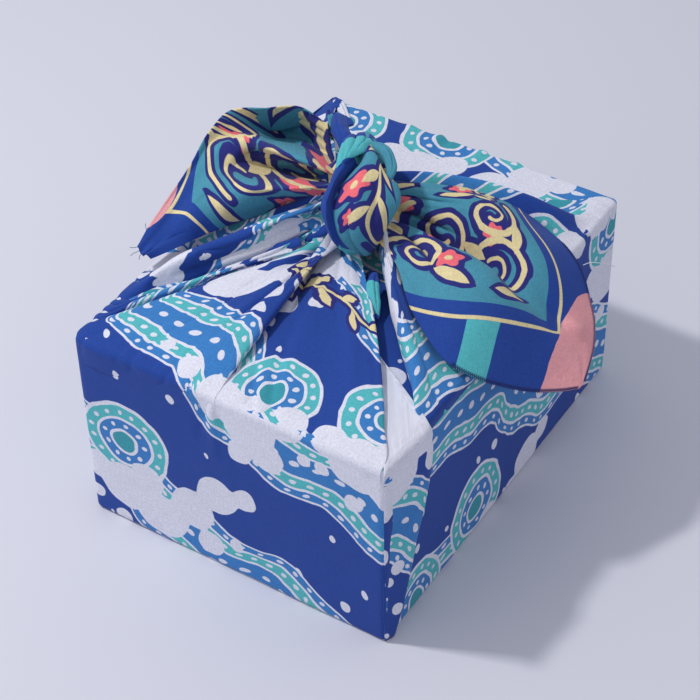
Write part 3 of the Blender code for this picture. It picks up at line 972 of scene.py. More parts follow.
# A row across the right ear, from the knot out: points in mm, and how far the ridge on
# each side of the crease stands up.
EarSection = namedtuple("EarSection", "front crease back front_rise back_rise")
RIGHT_EAR = (
    EarSection((3, 6, 136), (1, 18, 141), (-2, 28, 150), 0, 0),
    EarSection((28, -8, 135), (29, 20, 133), (21, 44, 146), 8, 8),
    EarSection((48, -28, 131), (50, 20, 129), (43, 63, 136), 13, 12),
    EarSection((75, -45, 126), (69, 20, 127), (67, 65, 127), 12, 10),
    EarSection((91, -43, 119), (86, 15, 123), (93, 58, 117), 6, 5),
    EarSection((107, -24, 103), (104, 15, 110), (108, 46, 103), 2, 3),
    EarSection((118, -8, 95), (116, 18, 98), (118, 30, 95), 1, 1),
    EarSection((124, 3, 91), (124, 6, 90.5), (124, 9, 91), 0, 0),
)
# How far each place is from one hem and from the other: a row for each of those, with
# the front, the front ridge, the crease, the back ridge and the back.
RIGHT_EAR_PRINT = (
    ((74, 124), (100, 116), (110, 112), (130, 104), (150, 95)),
    ((50, 112), (84, 102), (98, 98), (120, 88), (142, 74)),
    ((28, 98), (68, 86), (84, 82), (108, 66), (128, 46)),
    ((8, 84), (52, 70), (70, 64), (92, 46), (112, 9)),
    ((0, 63), (36, 53), (52, 48), (76, 33), (92, 0)),
    ((0, 40), (21, 33), (30, 30), (42, 18), (48, 0)),
    ((0, 16), (7, 12), (10, 10), (20, 5), (26, 0)),
    ((0, 8), (0, 3), (0, 0), (4, 0), (8, 0)),
)
RIGHT_EAR_CREASES = (
    Crease(
        (
            (0.04, 0.50, 0.8), (0.15, 0.50, 0.8), (0.24, 0.50, 1), (0.36, 0.50, 0.9),
            (0.45, 0.50, 0.6), (0.54, 0.50, 0.25), (0.64, 0.50, 0),
        ),
        6.0, 3.2, 1.2, 6.5,
    ),
    Crease(((0.04, 0.62, 1), (0.12, 0.61, 1), (0.20, 0.60, 0.6), (0.27, 0.60, 0)), 4.0, 1.5, -1.2),
    Crease(((0.04, 0.36, 1), (0.12, 0.34, 1), (0.22, 0.31, 1), (0.33, 0.28, 0)), 5.0, 1.8, -2.0, 2.6),
    Crease(((0.04, 0.20, 0.8), (0.14, 0.17, 1), (0.24, 0.15, 0.8), (0.34, 0.14, 0)), 3.0, 2.0, -1.0),
    Crease(((0.04, 0.76, 0.7), (0.14, 0.74, 1), (0.26, 0.72, 0)), 2.6, 1.6),
    Crease(((0.19, 0.08, 0), (0.24, 0.11, 1), (0.32, 0.15, 0)), 1.6, 1.5),
    Crease(((0.17, 0.03, 0.5), (0.26, 0.05, 1), (0.33, 0.07, 0)), 1.2, 1.4),
    Crease(((0.70, 0.62, 0), (0.76, 0.68, 1), (0.82, 0.74, 0)), -2.4, 4.0),
    Crease(((0.55, 0.60, 0), (0.68, 0.60, 1), (0.80, 0.58, 0)), 1.6, 4.0),
    *fine_creases(9, 51, (0.05, 0.12), (0.62, 0.95), (0.2, 0.45), 0.8, 1.3),
    *fine_creases(6, 52, (0.05, 0.15), (0.05, 0.45), (0.2, 0.45), 0.9, 1.3),
)
# A row across the left ear, from its lower edge over two ridges to the rim, and round.
RolledSection = namedtuple("RolledSection", "edge body low_ridge low_hollow ridge hollow rim back")
LEFT_EAR = (
    RolledSection(
        (-19, 5.5, 143), (-18.5, 6.5, 148), (-17, 7, 154), (-24, 19, 147),
        (-20, 12, 158), (-34, 33, 149), (-41, 40, 162), (-42, 47, 147),
    ),
    RolledSection(
        (-35, 4, 138), (-31, 0.5, 147), (-26.5, -3.5, 157), (-44, 21, 143),
        (-33, 8.5, 163), (-60, 46, 143), (-57, 39, 167), (-57, 50, 149),
    ),
    RolledSection(
        (-47, -3.5, 134), (-44, -7, 146), (-41.5, -9.5, 155), (-62, 17, 142),
        (-55, 8, 163), (-73, 41, 143), (-71.5, 29.5, 167), (-71, 40, 147),
    ),
    RolledSection(
        (-58, -15.5, 131), (-57, -17.5, 145), (-60, -12.5, 151), (-71, 3.5, 148),
        (-72, 13, 160), (-79, 26, 152), (-88.5, 23.5, 163), (-86, 34, 144),
    ),
    RolledSection(
        (-65, -26.5, 130), (-68, -24, 141), (-73.5, -17.5, 147), (-80.5, -8.5, 148),
        (-86, 2, 153), (-89.5, 9, 153), (-92.5, 11, 157), (-90, 20, 138),
    ),
    RolledSection(
        (-70, -35, 129), (-73, -34, 136), (-77, -30, 141), (-82, -24, 142),
        (-86, -18, 145), (-89, -12, 147), (-91, -8, 149), (-89, -2, 134),
    ),
    RolledSection(
        (-75, -46, 128), (-79, -46, 132), (-82, -45, 133), (-85, -44, 134.5),
        (-87, -42, 137), (-89, -40, 138.5), (-90, -38, 139), (-88, -34, 131),
    ),
    RolledSection(
        (-81, -59, 127.5), (-83, -60, 130.5), (-86, -60, 130), (-87.5, -59, 129),
        (-89, -58, 130.5), (-89.5, -58, 130.5), (-90, -57.5, 130.5), (-88, -56, 128),
    ),
)
# How far the edge and the rim of each row are from the lower hem and from the side hem.
EarPrint = namedtuple("EarPrint", "low_edge low_rim side_edge side_rim")
LEFT_EAR_PRINT = (
    EarPrint(70, 160, 100, 108),
    EarPrint(60, 158, 90, 96),
    EarPrint(50, 150, 78, 84),
    EarPrint(44, 130, 64, 69),
    EarPrint(34, 98, 50, 53),
    EarPrint(20, 62, 40, 26),
    EarPrint(6, 36, 46, 16),
    EarPrint(2, 16, 52, 36),
)
LEFT_EAR_CREASES = (
    Crease(((0.0, 0.50, 0.6), (0.12, 0.51, 1), (0.30, 0.50, 1), (0.46, 0.47, 0)), 5.0, 3.0, -2.6),
    Crease(((0.06, 0.66, 0), (0.20, 0.67, 0.8), (0.34, 0.66, 1), (0.46, 0.62, 0)), 5.0, 3.4, 1.6),
    Crease(((0.0, 0.71, 1), (0.25, 0.70, 0.7), (0.45, 0.68, 0)), 1.5, 2.0),
    Crease(((0.10, 0.49, 0), (0.3, 0.47, 1), (0.55, 0.42, 0)), 1.8, 2.4, -1.0),
    Crease(((0.25, 0.62, 0), (0.4, 0.60, 1), (0.6, 0.60, 0)), 1.5, 2.2),
    Crease(((0.45, 0.20, 0), (0.6, 0.25, 1), (0.8, 0.35, 0)), 0.9, 3.0),
    Crease(((0.75, 0.10, 0), (0.9, 0.22, 1), (1.0, 0.30, 1)), 1.6, 1.8, -1.0),
    *fine_creases(8, 61, (0.0, 0.06), (0.05, 0.35), (0.2, 0.5), 1.1, 1.3),
    *fine_creases(8, 62, (0.0, 0.06), (0.50, 0.85), (0.2, 0.5), 1.2, 1.4),
)

TEAL = srgb(74, 146, 170)
CORAL = srgb(240, 110, 122)
PINK = srgb(232, 162, 168)
BORDER = 27.0  # from the hem to the cream line
LINE = 2.0
INNER_BORDER = 36.0
BLOCK_PITCH = 72.0
BLOCK_WIDTH = 18.0
BLOCK_START = 66.0
Patch = namedtuple("Patch", "x y wide high")
CORNER_PATCH = Patch(12, 1, 50, 28)  # a round of pink at the cloth's very corner
SPRIG_AT = 56.0  # a sprig runs along each hem, and starts past the scrolls
SPRIG_FROM = 116.0
SPRIG_LENGTH = 40.0
# A scroll is three half turns, each smaller than the last. start: degrees.
Scroll = namedtuple("Scroll", "x y radius start hand")
SCROLLS = (
    Scroll(72, 66, 17, 200, 1),
    Scroll(104, 92, 16, 20, 1),
    Scroll(62, 104, 13, 110, -1),
    Scroll(104, 58, 13, 300, -1),
    Scroll(136, 116, 14, 160, 1),
    Scroll(100, 134, 12, 330, -1),
)
SCROLL_TURNS = 3
SCROLL_SHRINK = 0.62  # from each half turn to the next
SCROLL_WIDTH = 1.6  # half of the line's, and how much thinner each half turn is
SCROLL_THINNING = 0.2
LEAVES = (
    VineLeaf(50, 84, 60, 9, 3.2),
    VineLeaf(88, 50, -20, 9, 3.2),
    VineLeaf(88, 76, 40, 8, 2.8),
    VineLeaf(122, 74, 80, 9, 3.2),
    VineLeaf(86, 112, 10, 9, 3.2),
    VineLeaf(46, 56, 100, 8, 2.8),
    VineLeaf(118, 122, 30, 9, 3.2),
    VineLeaf(140, 92, 120, 9, 3.2),
)
Blossom = namedtuple("Blossom", "x y radius")
BLOSSOMS = (
    Blossom(86, 92, 9),
    Blossom(60, 86, 6.5),
    Blossom(92, 64, 6),
    Blossom(122, 104, 9),
    Blossom(64, 132, 8),
    Blossom(132, 66, 7),
    Blossom(45.5, 169, 7.5),
    Blossom(44, 185, 4.0),
)
PETALS = 5
PETAL_DEPTH = 0.16  # how far the rim goes in between petals, as a share of the radius
BLOSSOM_MIDDLE = 0.26
OUTLINE = 3.0


def corner_print(wire):
    """The corners' colours: scrolls and blossoms on teal, and the bands along the hems."""
    _, x, y = read_print_map(wire, wobble=3.5, scale=0.08)
    flat, line_x, line_y = read_print_map(wire, wobble=1.0, scale=0.04)
    spot = wire.node("ShaderNodeCombineXYZ", None, {"X": x, "Y": y})
    strokes = None
    for scroll in SCROLLS:
        cx, cy, radius, start = scroll.x, scroll.y, scroll.radius, math.radians(scroll.start)
        for k in range(SCROLL_TURNS):
            middle = start + scroll.hand * math.pi / 2
            turn = (y - cy).math("ARCTAN2", x - cx)
            off = (turn - middle).math("WRAP", math.pi, -math.pi)
            off = off - off.math("MAXIMUM", -math.pi / 2).math("MINIMUM", math.pi / 2)
            away = distance(wire, spot, cx, cy)
            gap = (away * away + radius**2 - away * off.math("COSINE") * (2 * radius)).math("SQRT")
            stroke = gap - SCROLL_WIDTH * (1 - SCROLL_THINNING * k)
            strokes = stroke if strokes is None else strokes.math("MINIMUM", stroke)
            end = start + scroll.hand * math.pi
            smaller = radius * SCROLL_SHRINK
            cx += (radius - smaller) * math.cos(end)
            cy += (radius - smaller) * math.sin(end)
            radius, start = smaller, end
    for leaf in LEAVES:
        strokes = strokes.math("MINIMUM", blade(x, y, leaf))
    hem, beside = line_x.math("MINIMUM", line_y), line_x.math("MAXIMUM", line_y)
    before = (SPRIG_FROM - beside).math("MAXIMUM", 0.0)
    sprig = vine(beside, hem - SPRIG_AT, SPRIG_LENGTH) + before
    strokes = strokes.math("MINIMUM", sprig)
    petals = None
    for flower in BLOSSOMS:
        away = distance(wire, spot, flower.x, flower.y)
        turn = (y - flower.y).math("ARCTAN2", x - flower.x)
        rim = (turn * PETALS).math("COSINE") * PETAL_DEPTH + (1 - PETAL_DEPTH)
        petal = away - rim * flower.radius
        petals = petal if petals is None else petals.math("MINIMUM", petal)
        strokes = strokes.math("MINIMUM", away - BLOSSOM_MIDDLE * flower.radius)
    colour = strokes.math("MINIMUM", petals).below(OUTLINE, PRINT_SOFTNESS).tint(TEAL, DARK_OUTLINE)
    colour = petals.below(0.0, PRINT_SOFTNESS).tint(colour, CORAL)
    colour = strokes.below(0.0, PRINT_SOFTNESS).tint(colour, CREAM)
    colour = hem.below(INNER_BORDER, PRINT_SOFTNESS).tint(colour, NAVY)
    colour = abs(hem - BORDER - LINE / 2).below(LINE / 2, PRINT_SOFTNESS).tint(colour, CREAM)
    band = hem.below(BORDER, PRINT_SOFTNESS)
    block = abs((beside - BLOCK_START).math("WRAP", BLOCK_PITCH / 2, -BLOCK_PITCH / 2))
    block = block.below(BLOCK_WIDTH / 2, PRINT_SOFTNESS) * band * line_x.below(BORDER, PRINT_SOFTNESS)
    colour = block.tint(colour, TURQUOISE)
    wide, high = (x - CORNER_PATCH.x) / CORNER_PATCH.wide, (y - CORNER_PATCH.y) / CORNER_PATCH.high
    patch = (wide * wide + high * high).below(1.0, PRINT_SOFTNESS / CORNER_PATCH.high)
    colour = patch.tint(colour, PINK)
    return colour, flat


corner_cotton, wire, shader = new_material("printed_cotton_corner")
colour, flat = corner_print(wire)
finish_cotton(corner_cotton, wire, shader, colour, flat)


RIDGE_SHARE = 0.75  # of the way from the front to the crease, where the front ridge is


def with_ridges(rows):
    """Adds the ridge before the crease, and the one half way from the crease to the back."""
    made = []
    for row in rows:
        front, crease, back = (np.array(p, float) for p in row[:3])
        front_ridge = front + (crease - front) * RIDGE_SHARE + UP * row.front_rise
        back_ridge = (crease + back) / 2 + UP * row.back_rise
        made.append([front, front_ridge, crease, back_ridge, back])
    return np.array(made)


right_grid = loft(with_ridges(RIGHT_EAR), along=130, across=130)
right_grid = crease_sheet(right_grid, RIGHT_EAR_CREASES)
right_grid = soften(right_grid, size=15.0, amount=0.6, seed=9.0)
right_print = loft(np.array(RIGHT_EAR_PRINT, float), along=130, across=130)
right_ear = sheet_object("right_ear", right_grid, right_print)

left_grid = loft(np.array(LEFT_EAR, float), along=130, across=160)
left_grid = crease_sheet(left_grid, LEFT_EAR_CREASES, outward=(-0.3, -0.6, 1))
left_grid = soften(left_grid, size=15.0, amount=0.6, seed=12.0)
ear_rows = smooth(LEFT_EAR_PRINT, np.linspace(0, 1, len(left_grid)))[:, :, None]
share_across = np.linspace(0, 1, left_grid.shape[1])
low_edge, low_rim, side_edge, side_rim = ear_rows.swapaxes(0, 1)
from_low = low_edge + (low_rim - low_edge) * share_across
from_side = side_edge + (side_rim - side_edge) * share_across
left_print = np.stack([from_low, from_side], axis=-1)
left_ear = sheet_object("left_ear", left_grid, left_print)


def twisted_thread(name, painted_groove_shade, light):
    """Sewing cotton in a fine twist, with a soft sheen. The darker colour is painted shade in the
    twist's grooves, where the bump is low.
    """
    made, wire, shader = new_material(name)
    place = wire.node("ShaderNodeTexCoord", output=3)
    twist = {"wave_type": "BANDS", "bands_direction": "DIAGONAL"}
    ply = wire.texture("ShaderNodeTexWave", place, twist, 1, Scale=900.0, Distortion=2.0)
    fuzz = wire.texture("ShaderNodeTexNoise", place, Scale=2500.0, Detail=3.0)
    # Painted shade: the twist's grooves, low in the bump, take the darker colour.
    made.node_tree.links.new(ply.tint(painted_groove_shade, light).socket, shader.inputs["Base Color"])
    made.node_tree.links.new((fuzz * 0.3 + 0.6).socket, shader.inputs["Roughness"])
    bump = wire.node("ShaderNodeBump", None, {"Strength": 0.4, "Distance": 0.0001, "Height": ply})
    made.node_tree.links.new(bump.socket, shader.inputs["Normal"])
    return made


ASLANT = (0.31, 0.17, 0.94)  # a direction that no thread here runs in


def thread_piece(name, paths, radius, material, sides=5):
    """Round threads along paths of points in mm."""
    verts, faces = [], []
    for path in paths:
        path = np.asarray(path, float)
        ahead = unit_vectors(np.gradient(path, axis=0))
        beside = unit_vectors(np.cross(ahead, ASLANT))
        above = np.cross(beside, ahead)
        first = len(verts)
        for point, b, a in zip(path, beside, above):
            for k in range(sides):
                turn = 2 * math.pi * k / sides
                verts.append((point + (b * math.cos(turn) + a * math.sin(turn)) * radius) * MM)
        for i in range(len(path) - 1):
            ring = first + i * sides
            for k in range(sides):
                after = (k + 1) % sides
                faces.append((ring + k, ring + after, ring + sides + after, ring + sides + k))
        faces.append(tuple(range(first + sides - 1, first - 1, -1)))
        faces.append(tuple(range(len(verts) - sides, len(verts))))
    mesh = bpy.data.meshes.new(name)
    mesh.from_pydata([tuple(v) for v in verts], [], faces)
    mesh.materials.append(material)
    mesh.shade_smooth()
    thread = bpy.data.objects.new(name, mesh)
    bpy.context.scene.collection.objects.link(thread)
    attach(thread, "root")
    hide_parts("cloth")
    return thread


STITCH_PITCH = 1.15
STITCH_DEPTH = 1.7
STITCH_LIFT = 0.5  # above and below the middle of the cloth
THREAD = 0.19  # the thread's radius


def overlock(hem, inside):
    """A zigzag of thread over a hem: from the cut edge to a line inside it, and back."""
    length = reach_across(hem[None])[0]
    paths = []
    depth = np.linalg.norm(inside - hem, axis=1)
    seam = hem + (inside - hem) * (STITCH_DEPTH / np.maximum(depth, 0.1))[:, None]
    lift = np.array([0, 0, STITCH_LIFT])
    # From under the edge, over it to the seam, and back under.
    stitch = ((0, hem, -1), (0.15, hem, 1), (0.5, seam, 1), (0.85, hem, 1), (1, hem, -1))
    for k in range(int(length[-1] / STITCH_PITCH)):
        spots = []
        for off, row, up in stitch:
            at = (k + off) * STITCH_PITCH
            spots.append([np.interp(at, length, row[:, i]) for i in range(3)] + lift * up)
        paths.append(spots)
    return paths


# Each thread's first colour is painted shade in its twist's grooves, and the second is its own colour.
navy_thread = twisted_thread("navy_thread", srgb(30, 38, 96), srgb(52, 64, 140))
white_thread = twisted_thread("white_thread", srgb(196, 196, 208), srgb(236, 236, 240))
INSIDE_HEM = 7  # columns of the grid from the hem to a line inside it
FRONT_HEM = slice(62, 130)  # the rows where each hem shows
BACK_HEM = slice(66, 131)
stitches = overlock(right_grid[FRONT_HEM, 0], right_grid[FRONT_HEM, INSIDE_HEM])
stitches += overlock(right_grid[BACK_HEM, -1], right_grid[BACK_HEM, -1 - INSIDE_HEM])
right_stitches = thread_piece("right_ear_stitches", stitches, THREAD, navy_thread)
LOOSE_THREAD = (
    (97, 55.5, 119),
    (99.3, 58.5, 119.5),
    (102.5, 60.9, 119),
    (105.6, 64.7, 117),
    (108.5, 67.6, 114.5),
)
LOOSE_RADIUS = 0.2
FRAY_RADIUS = 0.14
loose_end = smooth(LOOSE_THREAD, np.linspace(0, 1, 25))
loose_thread = thread_piece("loose_thread", [loose_end], LOOSE_RADIUS, white_thread)
fit_cloth(
    right_ear, corner_cotton
)
FRAYS = (
    ((-89.3, -50.2, 134.4), (-90.7, -48.9, 136), (-92.0, -47.6, 137.4)),
    ((-90.0, -56.6, 130), (-91, -59.2, 130.6), (-92.2, -60.8, 131.4)),
    ((-86.1, -59.0, 129), (-85.6, -61.7, 129.6), (-84.6, -63.8, 129)),
    ((-88.0, -58.6, 129.6), (-90.2, -61.2, 128.6), (-91.4, -61.8, 127.0)),
)
frays = [smooth(fray, np.linspace(0, 1, 9)) for fray in FRAYS]
left_frays = thread_piece("left_ear_frays", frays, FRAY_RADIUS, navy_thread)
fit_cloth(left_ear, corner_cotton)


# ---------------------------------------------------------------- knot
# The square knot: a broad band of the right corner's cloth round the tied bundle, with
# a trough down its middle, hollows where it bunches and a turned lip over its top.

KNOT_HALF_DEPTH = 33.0
KNOT_HALF_HEIGHT = 27.0
BACK_TURN = -40.0  # at the back, low down, the band is drawn in by this share
BACK_TIGHTENING = 0.3
# The band goes once round the knot: 90 is on top, 180 at the front, and its seam lies
# underneath. left, trough and right: mm from the knot's middle. depth: of the trough,
# as a share of the knot's size.
BandRow = namedtuple("BandRow", "turn left trough right depth")
BAND_ROWS = (
    BandRow(-100, -9, 0, 11, 0.0),
    BandRow(-55, -11, 0, 12, 0.0),
    BandRow(-10, -9, 0, 11, 0.0),
    BandRow(35, -6, 0, 9, 0.02),
    BandRow(60, -7, -1, 10, 0.05),
    BandRow(80, -8, 0.5, 11.6, 0.10),
    BandRow(98, -9.8, 1, 14.4, 0.16),
    BandRow(112, -11, -3.5, 16.8, 0.19),
    BandRow(126, -13.5, -8, 19.5, 0.17),
    BandRow(145, -16.8, -11, 20.5, 0.13),
    BandRow(162, -16.5, -11, 17.5, 0.08),
    BandRow(180, -14, -9, 14, 0.06),
    BandRow(200, -10.5, -5, 11.5, 0.04),
    BandRow(228, -7, 0, 9.5, 0.0),
    BandRow(260, -8, 0, 10, 0.0),
)
BAND_DIVISIONS = 112  # across the band
TROUGH_COLUMN = round(BAND_DIVISIONS * 3 / 7)
BAND_CREASES = (
    Crease(
        ((0.48, 0.66, 0), (0.51, 0.72, 1), (0.545, 0.79, 1), (0.58, 0.82, 1), (0.62, 0.86, 0)),
        6.5, 2.4, 0.0, 2.0,
    ),
    Crease(
        ((0.44, 0.43, 0), (0.55, 0.43, 1), (0.68, 0.43, 1), (0.76, 0.43, 0.4), (0.84, 0.43, 0)),
        1.8, 1.3, -1.0,
    ),
    Crease(((0.60, 0.69, 0), (0.66, 0.70, 1), (0.76, 0.71, 0.7), (0.86, 0.68, 0)), 1.5, 2.2),
    Crease(((0.66, 0.56, 0), (0.78, 0.55, 1), (0.90, 0.57, 1)), 1.6, 1.8),
    Crease(((0.58, 0.60, 0), (0.64, 0.61, 1), (0.72, 0.62, 0)), -1.0, 2.4),
    Crease(((0.50, 0.24, 0), (0.58, 0.25, 1), (0.70, 0.26, 0)), 0.9, 1.2),
    *fine_creases(8, 71, (0.84, 0.90), (0.2, 0.85), (-0.22, -0.08), 1.1, 1.3),
    *fine_creases(7, 72, (0.40, 0.46), (0.25, 0.75), (0.06, 0.16), 0.9, 1.3),
)


def knot_place(turn, beside, out):
    """A point on the knot: its turn, mm from the middle along its axis, and how far out."""
    out *= 1 - BACK_TIGHTENING * max(0.0, math.cos(math.radians(turn - BACK_TURN)))
    turn = math.radians(turn)
    ring = KNOT_BACK * KNOT_HALF_DEPTH * math.cos(turn) + UP * KNOT_HALF_HEIGHT * math.sin(turn)
    return KNOT_CENTRE + KNOT_AXIS * beside + ring * out


BORDER_TURN = 3.0  # how far each border of the band is turned under


def band_section(row):
    """From under the left border, over its roll, the trough and the body, to the right."""
    body = row.right - row.trough
    places = (
        (row.left + BORDER_TURN, 0.62),
        (row.left, 0.84),
        ((row.left + row.trough) / 2 - 0.5, 1.0),
        (row.trough, 1.0 - row.depth),
        (row.trough + body * 0.3, 1.03),
        (row.trough + body * 0.68, 1.0),
        (row.right, 0.8),
        (row.right - BORDER_TURN, 0.6),
    )
    return [knot_place(row.turn, beside, out) for beside, out in places]


turns = np.array([row.turn for row in BAND_ROWS], float)
band_knots = (turns - turns[0]) / (turns[-1] - turns[0])
sections = [band_section(row) for row in BAND_ROWS]
band_grid = loft(sections, along=200, across=BAND_DIVISIONS, knots=band_knots)
# The roll shows the cloth's border, and the body what lies past it: the trough hides
# what is between them.
ROLL_PRINT = (4.0, 60.0)
BODY_PRINT = 36.5
band_reach = reach_across(band_grid)
past_trough = band_reach - band_reach[:, [TROUGH_COLUMN]]
band_across = np.where(past_trough > 0, BODY_PRINT + past_trough, ROLL_PRINT[0] + band_reach)
band_print = np.stack([band_across, ROLL_PRINT[1] + reach_along(band_grid)], axis=-1)
band_grid = crease_sheet(band_grid, BAND_CREASES, outward=band_grid - KNOT_CENTRE)
band_grid = soften(band_grid, size=12.0, amount=0.7, seed=15.0)
knot_band = sheet_object("knot_band", band_grid, band_print)
fit_cloth(knot_band, corner_cotton)

# A layer over the top of the band, ending in a turned lip. Each row is turn, mm beside
# the middle and how far out, from left to right.
KNOT_LIP = (
    ((40, -6, 0.88), (40, -3, 0.97), (40, 1, 0.98), (40, 5, 0.97), (40, 8.5, 0.88)),
    ((62, -7, 0.94), (62, -4, 1.03), (62, 1, 1.06), (62, 6, 1.04), (62, 9.5, 0.92)),
    ((82, -8, 0.97), (82, -5, 1.05), (82, 0, 1.09), (80, 4.5, 1.08), (78, 9, 0.94)),
    ((106, -10, 0.95), (101, -6, 1.08), (95, -2, 1.11), (88, 3, 1.10), (82, 8, 0.95)),
    ((111, -9.5, 0.92), (106, -5.5, 1.02), (100, -1.5, 1.04), (93, 3.5, 1.02), (85, 7.5, 0.93)),
    ((107, -9, 0.90), (102, -5, 0.98), (97, -1, 0.98), (90, 3.5, 0.96), (83, 7, 0.90)),
)
LIP_PRINT = (5.0, 38.0)
LIP_CREASES = (
    Crease(((0.0, 0.35, 0.6), (0.4, 0.40, 1), (0.75, 0.30, 0)), 1.8, 1.0, 0.6),
    Crease(((0.1, 0.66, 0.6), (0.45, 0.72, 1), (0.70, 0.62, 0)), 2.0, 1.0, -0.6),
    Crease(((0.3, 0.10, 0), (0.6, 0.16, 1), (0.9, 0.12, 0.4)), 1.4, 0.9),
)
sections = [[knot_place(*place) for place in row] for row in KNOT_LIP]
lip_grid = loft(sections, along=60, across=60)
lip_print = print_places(lip_grid, LIP_PRINT)
lip_grid = soften(crease_sheet(lip_grid, LIP_CREASES), size=8.0, amount=0.4, seed=19.0)
knot_lip = sheet_object("knot_lip", lip_grid, lip_print)
fit_cloth(knot_lip, corner_cotton)


# ---------------------------------------------------------------- tucks and tips
# Folds of the same cloth that show between the larger ones: the bundle inside the knot,
# layers in the two openings beside it, the end that goes behind it, and corners' tips.

# Each is an arch of cloth along a path, with its radius given at each point. print_at:
# where it starts on the print, in mm. flat: in metres.
Tuck = namedtuple("Tuck", "name cotton print_at flat path")
TuckPoint = namedtuple("TuckPoint", "x y z radius")
TUCKS = (
    Tuck("knot_strand", "corner", (86, 150), (0.010, 0.036), (
        TuckPoint(-11.5, 24, 168.5, 2.2),
        TuckPoint(-7.3, 24.8, 170.6, 2.7),
        TuckPoint(-1.8, 26, 170.6, 3.0),
        TuckPoint(3.0, 24.6, 170.2, 2.8),
        TuckPoint(7.6, 20.9, 168.6, 2.6),
        TuckPoint(9.8, 17.4, 167.0, 2.3),
        TuckPoint(10.2, 13.6, 164.4, 1.5),
    )),
    Tuck("knot_bundle", "corner", (70, 60), (0.034, 0.03), (
        TuckPoint(-25.0, 17.5, 149, 7.0),
        TuckPoint(-19.0, 20.7, 150, 10.5),
        TuckPoint(-12.8, 24.0, 150.5, 11.5),
        TuckPoint(-7.0, 27.1, 150, 10.5),
        TuckPoint(-1.5, 30.0, 148, 6.5),
    )),
    Tuck("knot_lobe", "corner", (6, 84), (0.014, 0.034), (
        TuckPoint(-23, 30, 158, 3.0),
        TuckPoint(-27.5, 35, 160, 4.0),
        TuckPoint(-35, 42, 159, 4.3),
        TuckPoint(-42.5, 52.5, 155.5, 4.0),
        TuckPoint(-49, 61, 151, 2.0),
    )),
    Tuck("left_inner_fold", "corner", (6, 78), (0.010, 0.05), (
        TuckPoint(-52, -22, 117.5, 1.0),
        TuckPoint(-43, -18, 119, 2.4),
        TuckPoint(-33, -13, 124, 2.8),
        TuckPoint(-23, -8, 130, 2.8),
        TuckPoint(-13, -2, 136, 2.6),
    )),
    Tuck("left_inner_hem", "corner", (4, 84), (0.010, 0.042), (
        TuckPoint(-60, -30, 119, 1.0),
        TuckPoint(-48, -26, 122, 2.2),
        TuckPoint(-36, -21, 126, 2.8),
        TuckPoint(-22, -14, 132, 2.6),
    )),
    Tuck("pocket_fold", "corner", (4, 80), (0.010, 0.11), (
        TuckPoint(86, -78, 112.8, 1.8),
        TuckPoint(71, -70, 112.8, 2.4),
        TuckPoint(58, -60, 112.8, 2.8),
        TuckPoint(46, -48, 113.0, 2.8),
        TuckPoint(33, -34, 113.5, 2.8),
        TuckPoint(22, -20, 115.0, 2.8),
        TuckPoint(12, -4, 119, 2.6),
    )),
    Tuck("pocket_tip", "corner", (6, 50), (0.010, 0.026), (
        TuckPoint(18.5, -12, 127, 1.6),
        TuckPoint(21, -18, 126.5, 3.0),
        TuckPoint(27, -26, 123.5, 2.6),
        TuckPoint(33, -33, 120.5, 0.5),
    )),
    Tuck("teal_tip", "corner", (44, 60), (0.010, 0.014), (
        TuckPoint(-40, 47, 150, 4.0),
        TuckPoint(-45, 51, 154, 2.6),
        TuckPoint(-51, 56, 157, 0.5),
    )),
    Tuck("corner_tip", "field", (-12, 400), (0.010, 0.022), (
        TuckPoint(-84.5, 113, 117.6, 1.0),
        TuckPoint(-80, 110, 117.8, 2.6),
        TuckPoint(-74, 105, 117.8, 2.4),
        TuckPoint(-64, 97, 116.6, 1.6),
    )),
)
TUCK_ARCH = 205.0  # degrees of arch
TUCK_CREASES = (
    Crease(((0.04, 0.30, 0), (0.25, 0.36, 1), (0.70, 0.40, 1), (0.96, 0.34, 0)), 1.0, 0.7),
    Crease(((0.30, 0.62, 0), (0.55, 0.66, 1), (0.98, 0.60, 0.3)), 0.7, 0.8),
)


def tuck_grid(path, rows=60, columns=24):
    """An arch of cloth over a path, open underneath."""
    along = np.linspace(0, 1, rows + 1)
    spine = smooth([(p.x, p.y, p.z) for p in path], along)
    radius = np.interp(along, np.linspace(0, 1, len(path)), [p.radius for p in path])
    ahead = unit_vectors(np.gradient(spine, axis=0))
    beside = unit_vectors(np.cross(ahead, UP))
    above = np.cross(beside, ahead)
    turns = np.radians(90 + TUCK_ARCH * (0.5 - np.linspace(0, 1, columns + 1)))
    arch = beside[:, None] * np.cos(turns)[:, None] + above[:, None] * np.sin(turns)[:, None]
    return spine[:, None] + arch * radius[:, None, None]


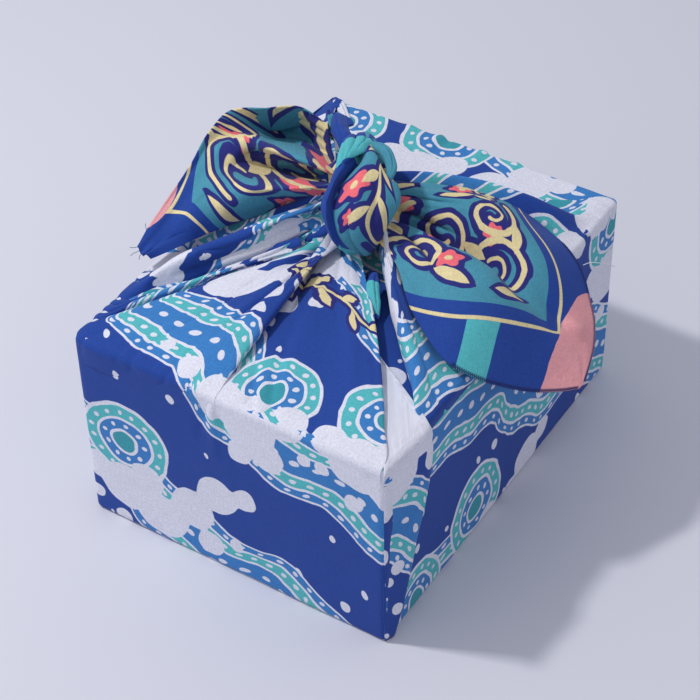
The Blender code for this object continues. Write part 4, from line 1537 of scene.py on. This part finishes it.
cottons = {"corner": corner_cotton, "field": field_cotton}
for seed, tuck in enumerate(TUCKS):
    grid = crease_sheet(tuck_grid(tuck.path), TUCK_CREASES)
    prints = print_places(grid, tuck.print_at)
    grid = soften(grid, size=7.0, amount=0.5, seed=30.0 + seed)
    piece = sheet_object(tuck.name, grid, prints)
    fit_cloth(piece, cottons[tuck.cotton])


# ---------------------------------------------------------------- floor and light
# A seamless pale lilac paper, a small softbox above the left front of the wrap, a large
# dim light low in front of it, and a pale surround that fills the shadows.

FLOOR_SIZE = 6.0
bm = bmesh.new()
bmesh.ops.create_grid(bm, x_segments=2, y_segments=2, size=FLOOR_SIZE / 2)
floor_mesh = bpy.data.meshes.new("floor")
bm.to_mesh(floor_mesh)
bm.free()
floor = bpy.data.objects.new("floor", floor_mesh)
bpy.context.scene.collection.objects.link(floor)
backdrop, wire, shader = new_material("backdrop_paper")
shader.inputs["Base Color"].default_value = srgb(214, 215, 226)
shader.inputs["Roughness"].default_value = 0.9
shader.inputs["Specular IOR Level"].default_value = 0.1
floor_mesh.materials.append(backdrop)


def square_light(name, place, size, power, colour):
    """A square light in metres and watts, aimed at the middle of the wrap's underside."""
    lamp = bpy.data.lights.new(name, "AREA")
    lamp.shape = "SQUARE"
    lamp.size = size
    lamp.energy = power
    lamp.color = colour
    hung = bpy.data.objects.new(name, lamp)
    hung.location = place
    hung.rotation_euler = Vector(place).to_track_quat("Z", "Y").to_euler()
    bpy.context.scene.collection.objects.link(hung)


square_light("softbox", (-0.60, -0.38, 1.28), size=0.10, power=9.7, colour=(1.0, 0.99, 0.97))
square_light("reflector", (-0.5, -1.7, 0.45), size=1.4, power=3.3, colour=(1.0, 1.0, 1.0))

SKY = (0.90, 0.92, 1.0, 1.0)
SKY_STRENGTH = 0.58
world = bpy.data.worlds.new("surround")
world.use_nodes = True
bpy.context.scene.world = world
background = world.node_tree.nodes["Background"]
background.inputs["Color"].default_value = SKY
background.inputs["Strength"].default_value = SKY_STRENGTH
